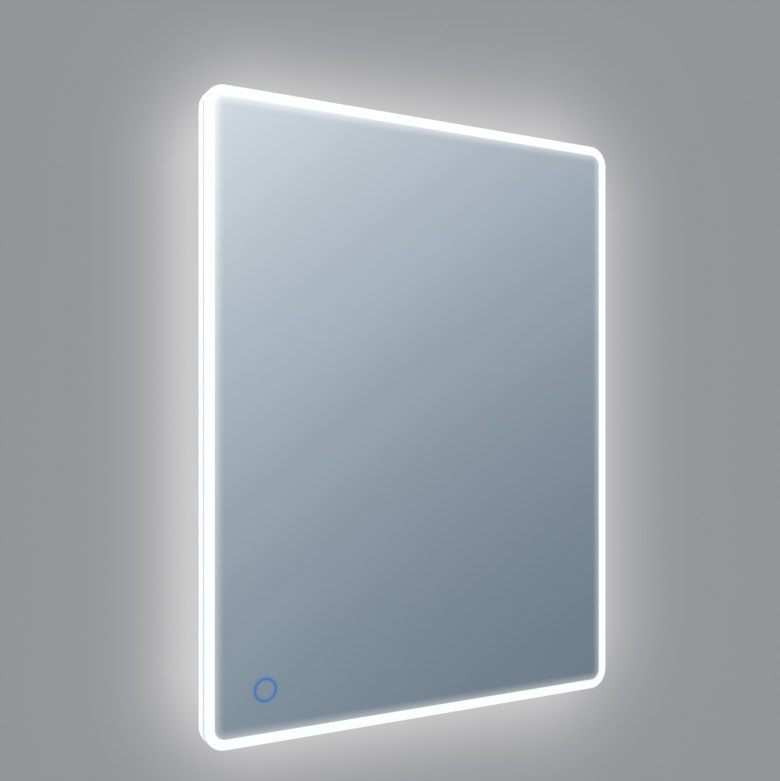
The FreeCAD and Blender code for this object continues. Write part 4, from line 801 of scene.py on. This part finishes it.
def pan_head_screws(settings):
    """The cover's screws. A row is a ring of points round the screw's axis. The cross recess is the outline
    min(arm / cos, width / sin) of the angle to the nearest arm. The head is a dome, whose height is the
    head's times (1 - share^sharpness)^(1 / fullness) for a share of its radius. The thread's radius follows
    a triangle wave of the depth over the pitch less the share of a turn."""
    places, head = screw_places()
    screw_low, screw_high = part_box("cover_screws")
    seat = screw_high.y - settings.head_height
    shank_length = seat - screw_low.y
    arm, half_width = settings.recess_arm, settings.recess_width
    corner = math.atan2(half_width, arm)
    quarter = [0, corner, *np.radians((30, 45, 60)), math.pi / 2 - corner]
    turn = (quarter + np.arange(4)[:, None] * math.pi / 2).ravel()
    to_arm = np.abs((turn + math.pi / 4) % (math.pi / 2) - math.pi / 4)
    tiny = 1e-6
    cross = np.minimum(arm / np.cos(to_arm), half_width / np.maximum(np.sin(to_arm), tiny))

    def dome(radius):
        hollow = np.maximum(1 - (radius / head) ** DOME_SHARPNESS, 0)
        return settings.head_height * hollow ** (1 / DOME_FULLNESS)

    over = cross + (head - cross) * np.array(HEAD_SHARES)[:, None]
    floor = dome(0.0) - RECESS_DEPTH
    run = np.linspace(0, shank_length, THREAD_ROWS)[:, None]
    left = shank_length - run
    wave = np.abs(((run / settings.thread_pitch - turn / math.tau) % 1) * 2 - 1)
    taper = np.clip(run / THREAD_START, 0, 1) * np.clip(left / THREAD_END, 0, 1) ** 0.5
    core = (SHANK_SHARE * head - settings.thread_depth) * np.clip(left / TIP_LENGTH, TIP_SHARE, 1)
    thread = core + settings.thread_depth * wave * taper
    radii = np.vstack([RECESS_FLOOR * cross[None], over, thread])
    heights = np.vstack([np.full((1, len(turn)), floor), dome(over), -np.broadcast_to(run, thread.shape)])
    ring = np.stack([radii * np.cos(turn), heights, radii * np.sin(turn)], axis=-1).reshape(-1, 3)
    screw = np.vstack([ring, [(0, floor - RECESS_POINT, 0), (0, -shank_length, 0)]])

    angle = np.arange(len(places)) * SCREW_TURN
    right, up = np.cos(angle)[:, None], np.sin(angle)[:, None]
    across = screw[:, 0] * right - screw[:, 2] * up + places[:, :1]
    height = screw[:, 0] * up + screw[:, 2] * right + places[:, 1:]
    depth = np.broadcast_to(screw[:, 1] + seat, across.shape)
    points = np.stack([across, depth, height], axis=-1).reshape(-1, 3)
    step = np.arange(len(places))[:, None, None] * len(screw)
    faces = [face for part in capped_grid_faces(*radii.shape)
             for face in (part + step).reshape(-1, part.shape[1]).tolist()]
    return mesh_piece("pan_head_screws", points, faces)


# ---- operators

class MIRROR_OT_glass(bpy.types.Operator):
    """Finish the silvered glass, the film, tape and heating foil on its back, and the gasket"""
    bl_idname = "lighted_mirror.glass"
    bl_label = "Finish the glass"

    def execute(self, context):
        settings = context.scene.mirror_glass
        soft = context.scene.mirror_mouldings
        stand_in_for(glass_sheet(settings), "mirror_glass", silvered_glass(settings))
        finish_nodes(backing_film(soft), "backing_film")
        finish_nodes(cell_foam(soft), "glass_bond_tape", "cover_gasket")
        finish_nodes(heating_foil(soft), "demister_pad")
        return {"FINISHED"}


class MIRROR_OT_lights(bpy.types.Operator):
    """Finish the opal diffuser and the strips of diodes behind it"""
    bl_idname = "lighted_mirror.lights"
    bl_label = "Finish the diffuser and strips"

    def execute(self, context):
        settings = context.scene.mirror_lights
        channel = opal_channel(settings, context.scene.mirror_glass.corner_radius)
        stand_in_for(channel, "edge_diffuser", opal_acrylic(settings))
        finish_nodes(diode_board(settings, "Z"), "led_strip_left", "led_strip_right")
        finish_nodes(diode_board(settings, "X"), "led_strip_top", "led_strip_bottom")
        jumper_white = (0.7, 0.7, 0.68)
        finish_nodes(moulding("led_jumper_finish", jumper_white), "led_jumpers")
        return {"FINISHED"}


class MIRROR_OT_frame(bpy.types.Operator):
    """Finish the four mitred extrusions and the corner keys that hold them together"""
    bl_idname = "lighted_mirror.frame"
    bl_label = "Finish the light frame"

    def execute(self, context):
        settings = context.scene.mirror_metals
        finish_nodes(anodised_aluminium(settings, "Z"), "profile_left", "profile_right")
        finish_nodes(anodised_aluminium(settings, "X"), "profile_top", "profile_bottom")
        key = zinc_plate(settings, "corner_key_finish", line_length=0.4)
        finish_nodes(key, "corner_key_top_left", "corner_key_top_right", "corner_key_bottom_left",
                     "corner_key_bottom_right")
        return {"FINISHED"}


class MIRROR_OT_cover(bpy.types.Operator):
    """Finish the pressed back cover with its hangers, screws and grommet"""
    bl_idname = "lighted_mirror.cover"
    bl_label = "Finish the back cover"

    def execute(self, context):
        metals = context.scene.mirror_metals
        mouldings = context.scene.mirror_mouldings
        finish_nodes(powder_coat(metals), "back_cover")
        plate = zinc_plate(metals, "hanger_plate_finish", line_length=0.05)
        finish_nodes(plate, "hanger_plate_left", "hanger_plate_right")
        cup = moulding("keyhole_cup_finish", mouldings.black_colour)
        finish_nodes(cup, "keyhole_cup_left", "keyhole_cup_right")
        stand_in_for(pan_head_screws(metals), "cover_screws",
                     zinc_plate(metals, "cover_screw_finish", line_length=1.0))
        finish_nodes(moulding("grommet_rubber_finish", mouldings.rubber_colour), "cable_grommet")
        return {"FINISHED"}


class MIRROR_OT_inside(bpy.types.Operator):
    """Finish the power supply, junction box, touch switch and leads"""
    bl_idname = "lighted_mirror.inside"
    bl_label = "Finish the parts inside"

    def execute(self, context):
        colours = context.scene.mirror_mouldings
        white = moulding("white_moulding_finish", colours.white_colour)
        finish_nodes(white, "driver_case", "driver_lid", "junction_box", "junction_lid")
        finish_nodes(moulding("black_moulding_finish", colours.black_colour), "sensor_case")
        sheath = moulding("lead_sheath_finish", colours.sheath_colour)
        finish_nodes(sheath, "mains_lead", "led_feed_lead", "strip_feed_lead", "demister_lead")
        for name in ("driver_board", "sensor_board"):
            finish_nodes(printed_board(colours, name), name)
        finish_nodes(light_guide(context.scene.mirror_glass), "sensor_light_ring")
        return {"FINISHED"}


# ---- stage

STAGE_REACH = 3.0  # half the width of the wall and of the floor
WALL_TOP = 1.8
HALO_POWER = 1.39
HALO_PLACES = (-0.3, 0.5)  # where the halo has its left and its right reach
LAMPS = {  # place, size, power in watts, and whether polished faces mirror it
    "front_lamp": ((-1.6, -2.4, 1.8), 1.6, 66, False),
    "right_lamp": ((2.4, -1.4, 0.9), 1.4, 26, False),
    "back_lamp": ((-1.7, 1, 2.2), 0.9, 118, True),
    "back_side_lamp": ((2.2, 1.6, 0.6), 1, 16, True),
}

# The room that polished faces mirror: for red, green and blue, the tone ahead, and what its exponent gains
# sideways and upwards
ROOM_TONES = ((0.755, -1.62, 1.7), (0.812, -1.45, 1.45), (0.866, -1.28, 1.275))
ROOM_ROUNDING = 0.04
ROOM_DARKEST, ROOM_BRIGHTEST = -1.9, 0.15  # limits of the exponent
STREAK_TURN, STREAK_STRETCH = math.radians(41), (0.07, 0, 1)
OBJECT_LIGHT = (0.34, 0.34, 0.345)
BACKGROUND = (0.8, 0.805, 0.81)


def wall_paint(settings):
    """Plain matt wall with the halo of the diffuser: the exponential of minus the power HALO_POWER of the
    distance from the mirror's outline over the halo's reach, which grows from left to right. Seen from
    behind, the wall is clear."""
    finish = Finish("wall_paint")
    place, tree = finish.place, finish.tree
    rim = rim_distance(place, half_width=HALF_WIDTH, half_height=HALF_HEIGHT,
                       corner_radius=settings.halo_corner)["Distance"]
    reach = place.parts()[0].rise(*HALO_PLACES, settings.halo_left, settings.halo_right, smooth=False)
    falling = ((rim * -1).at_least(0) / reach) ** HALO_POWER
    halo = layered(BLACK, ((falling * -1).step("EXPONENT"), settings.halo_colour))
    pale_wall = (0.3, 0.305, 0.32)
    paint = layered(settings.wall_colour, (place.noise(1.5, detail=2).spread(high=0.3), pale_wall))
    lit = node(tree, "Emission", {"Color": blend_colours(1, paint, halo, "ADD"), "Strength": 1})
    clear = node(tree, "BsdfTransparent")
    behind = node(tree, "NewGeometry", output="Backfacing")
    feed(finish.output.inputs["Surface"], node(tree, "MixShader", {0: behind, 1: lit, 2: clear}))
    tree.nodes.remove(finish.shader)
    return finish.material


def floor_paint(settings):
    """Pale matt floor with a soft unevenness."""
    finish = Finish("floor_paint")
    clouds = finish.place.noise(2, detail=4)
    dim_floor = (0.68, 0.68, 0.67)
    return finish.shaded({
        "Base Color": layered(settings.floor_colour, (clouds.spread(), dim_floor)),
        "Roughness": finish.place.noise(9).spread(0.7, 0.85),
    })


def room_light():
    """Even pale light for the object. What polished faces mirror is a room that is bright above and dims
    downwards and to both sides: the exponential of the ray's height and of the root of its sideways part
    squared plus ROOM_ROUNDING, each times a constant. Faint slanting streaks cross it."""
    world = bpy.data.worlds.new("plain_room")
    world.use_nodes = True
    tree = world.node_tree
    tree.nodes.clear()
    ray = node(tree, "TexCoord", output="Generated")
    across, _, up = ray.parts()
    sideways = (across * across + ROOM_ROUNDING).step("SQRT")
    tones = []
    for ahead, side_gain, up_gain in ROOM_TONES:
        exponent = (sideways * side_gain + up * up_gain).at_least(ROOM_DARKEST).at_most(ROOM_BRIGHTEST)
        tones.append(exponent.step("EXPONENT") * ahead)
    room = node(tree, "CombineColor", dict(enumerate(tones)))
    turned = node(tree, "VectorRotate", {"Vector": ray, "Angle": STREAK_TURN}, rotation_type="Y_AXIS")
    streaks = (turned * STREAK_STRETCH).noise(22, detail=2)
    room = product(room, streaks.spread(0.986, 1.027))
    from_camera = node(tree, "LightPath", output="Is Camera Ray")
    from_gloss = node(tree, "LightPath", output="Is Glossy Ray")
    seen = layered(OBJECT_LIGHT, (from_camera, BACKGROUND), (from_gloss, room))
    output = tree.nodes.new("ShaderNodeOutputWorld")
    feed(output.inputs["Surface"], node(tree, "Background", {"Color": seen, "Strength": 1}))
    bpy.context.scene.world = world


def panel_lamp(name, place, size, power, mirrored):
    """A soft square lamp that looks at the mirror's middle."""
    light = bpy.data.lights.new(name, "AREA")
    light.shape = "SQUARE"
    light.size = size
    light.energy = power
    lamp = new_object(name, light)
    lamp.location = place
    lamp.rotation_euler = Vector(place).to_track_quat("Z", "Y").to_euler()
    lamp.visible_glossy = mirrored
    lamp.visible_camera = False


def flat_sheet(name, corners, material, rays):
    """A flat four-cornered sheet of the stage, which the named kinds of ray pass."""
    piece = mesh_piece(name, np.array(corners, float), [(0, 1, 2, 3)])
    piece.data.materials.append(material)
    for kind in rays:
        setattr(piece, "visible_" + kind, False)


class MIRROR_OT_stage(bpy.types.Operator):
    """Set up the wall, the floor, the lamps and the camera"""
    bl_idname = "lighted_mirror.stage"
    bl_label = "Set the stage"

    def execute(self, context):
        scene = context.scene
        settings = scene.mirror_stage
        near, far, low = -STAGE_REACH, STAGE_REACH, -settings.drop
        flat_sheet("wall", [(near, 0, low), (far, 0, low), (far, 0, WALL_TOP), (near, 0, WALL_TOP)],
                   wall_paint(settings), ("shadow", "diffuse", "glossy", "transmission"))
        flat_sheet("floor", [(near, near, low), (far, near, low), (far, far, low), (near, far, low)],
                   floor_paint(settings), ("glossy",))
        room_light()
        for name, values in LAMPS.items():
            panel_lamp(name, *values)
        camera = bpy.data.cameras.new("camera")
        camera.lens = settings.focal_length
        camera.shift_y = settings.horizon_shift
        eye = new_object("camera", camera)
        eye.location = settings.camera_place
        eye.rotation_euler = (math.radians(90), 0, -settings.camera_turn)
        scene.camera = eye
        scene.view_settings.view_transform = "Standard"
        return {"FINISHED"}


class MIRROR_PT_panel(bpy.types.Panel):
    """Settings and steps of the mirror's finish"""
    bl_label = "Lighted bathroom mirror"
    bl_idname = "MIRROR_PT_panel"
    bl_space_type = "VIEW_3D"
    bl_region_type = "UI"
    bl_category = "Mirror"

    def draw(self, context):
        layout = self.layout
        for group, settings in SETTINGS.items():
            box = layout.box()
            for name in settings.__annotations__:
                box.prop(getattr(context.scene, group), name)
        for operator in OPERATORS:
            layout.operator(operator.bl_idname)


SETTINGS = {
    "mirror_glass": GlassSettings,
    "mirror_lights": LightSettings,
    "mirror_metals": MetalSettings,
    "mirror_mouldings": MouldingSettings,
    "mirror_stage": StageSettings,
}
OPERATORS = (MIRROR_OT_glass, MIRROR_OT_lights, MIRROR_OT_frame, MIRROR_OT_cover, MIRROR_OT_inside,
             MIRROR_OT_stage)


def register():
    for group, settings in SETTINGS.items():
        bpy.utils.register_class(settings)
        setattr(bpy.types.Scene, group, PointerProperty(type=settings))
    for operator in OPERATORS:
        bpy.utils.register_class(operator)
    bpy.utils.register_class(MIRROR_PT_panel)


def unregister():
    bpy.utils.unregister_class(MIRROR_PT_panel)
    for operator in reversed(OPERATORS):
        bpy.utils.unregister_class(operator)
    for group, settings in reversed(SETTINGS.items()):
        delattr(bpy.types.Scene, group)
        bpy.utils.unregister_class(settings)


def main():
    register()
    bpy.ops.lighted_mirror.glass()
    bpy.ops.lighted_mirror.lights()
    bpy.ops.lighted_mirror.frame()
    bpy.ops.lighted_mirror.cover()
    bpy.ops.lighted_mirror.inside()
    bpy.ops.lighted_mirror.stage()


if __name__ == "__main__":
    main()
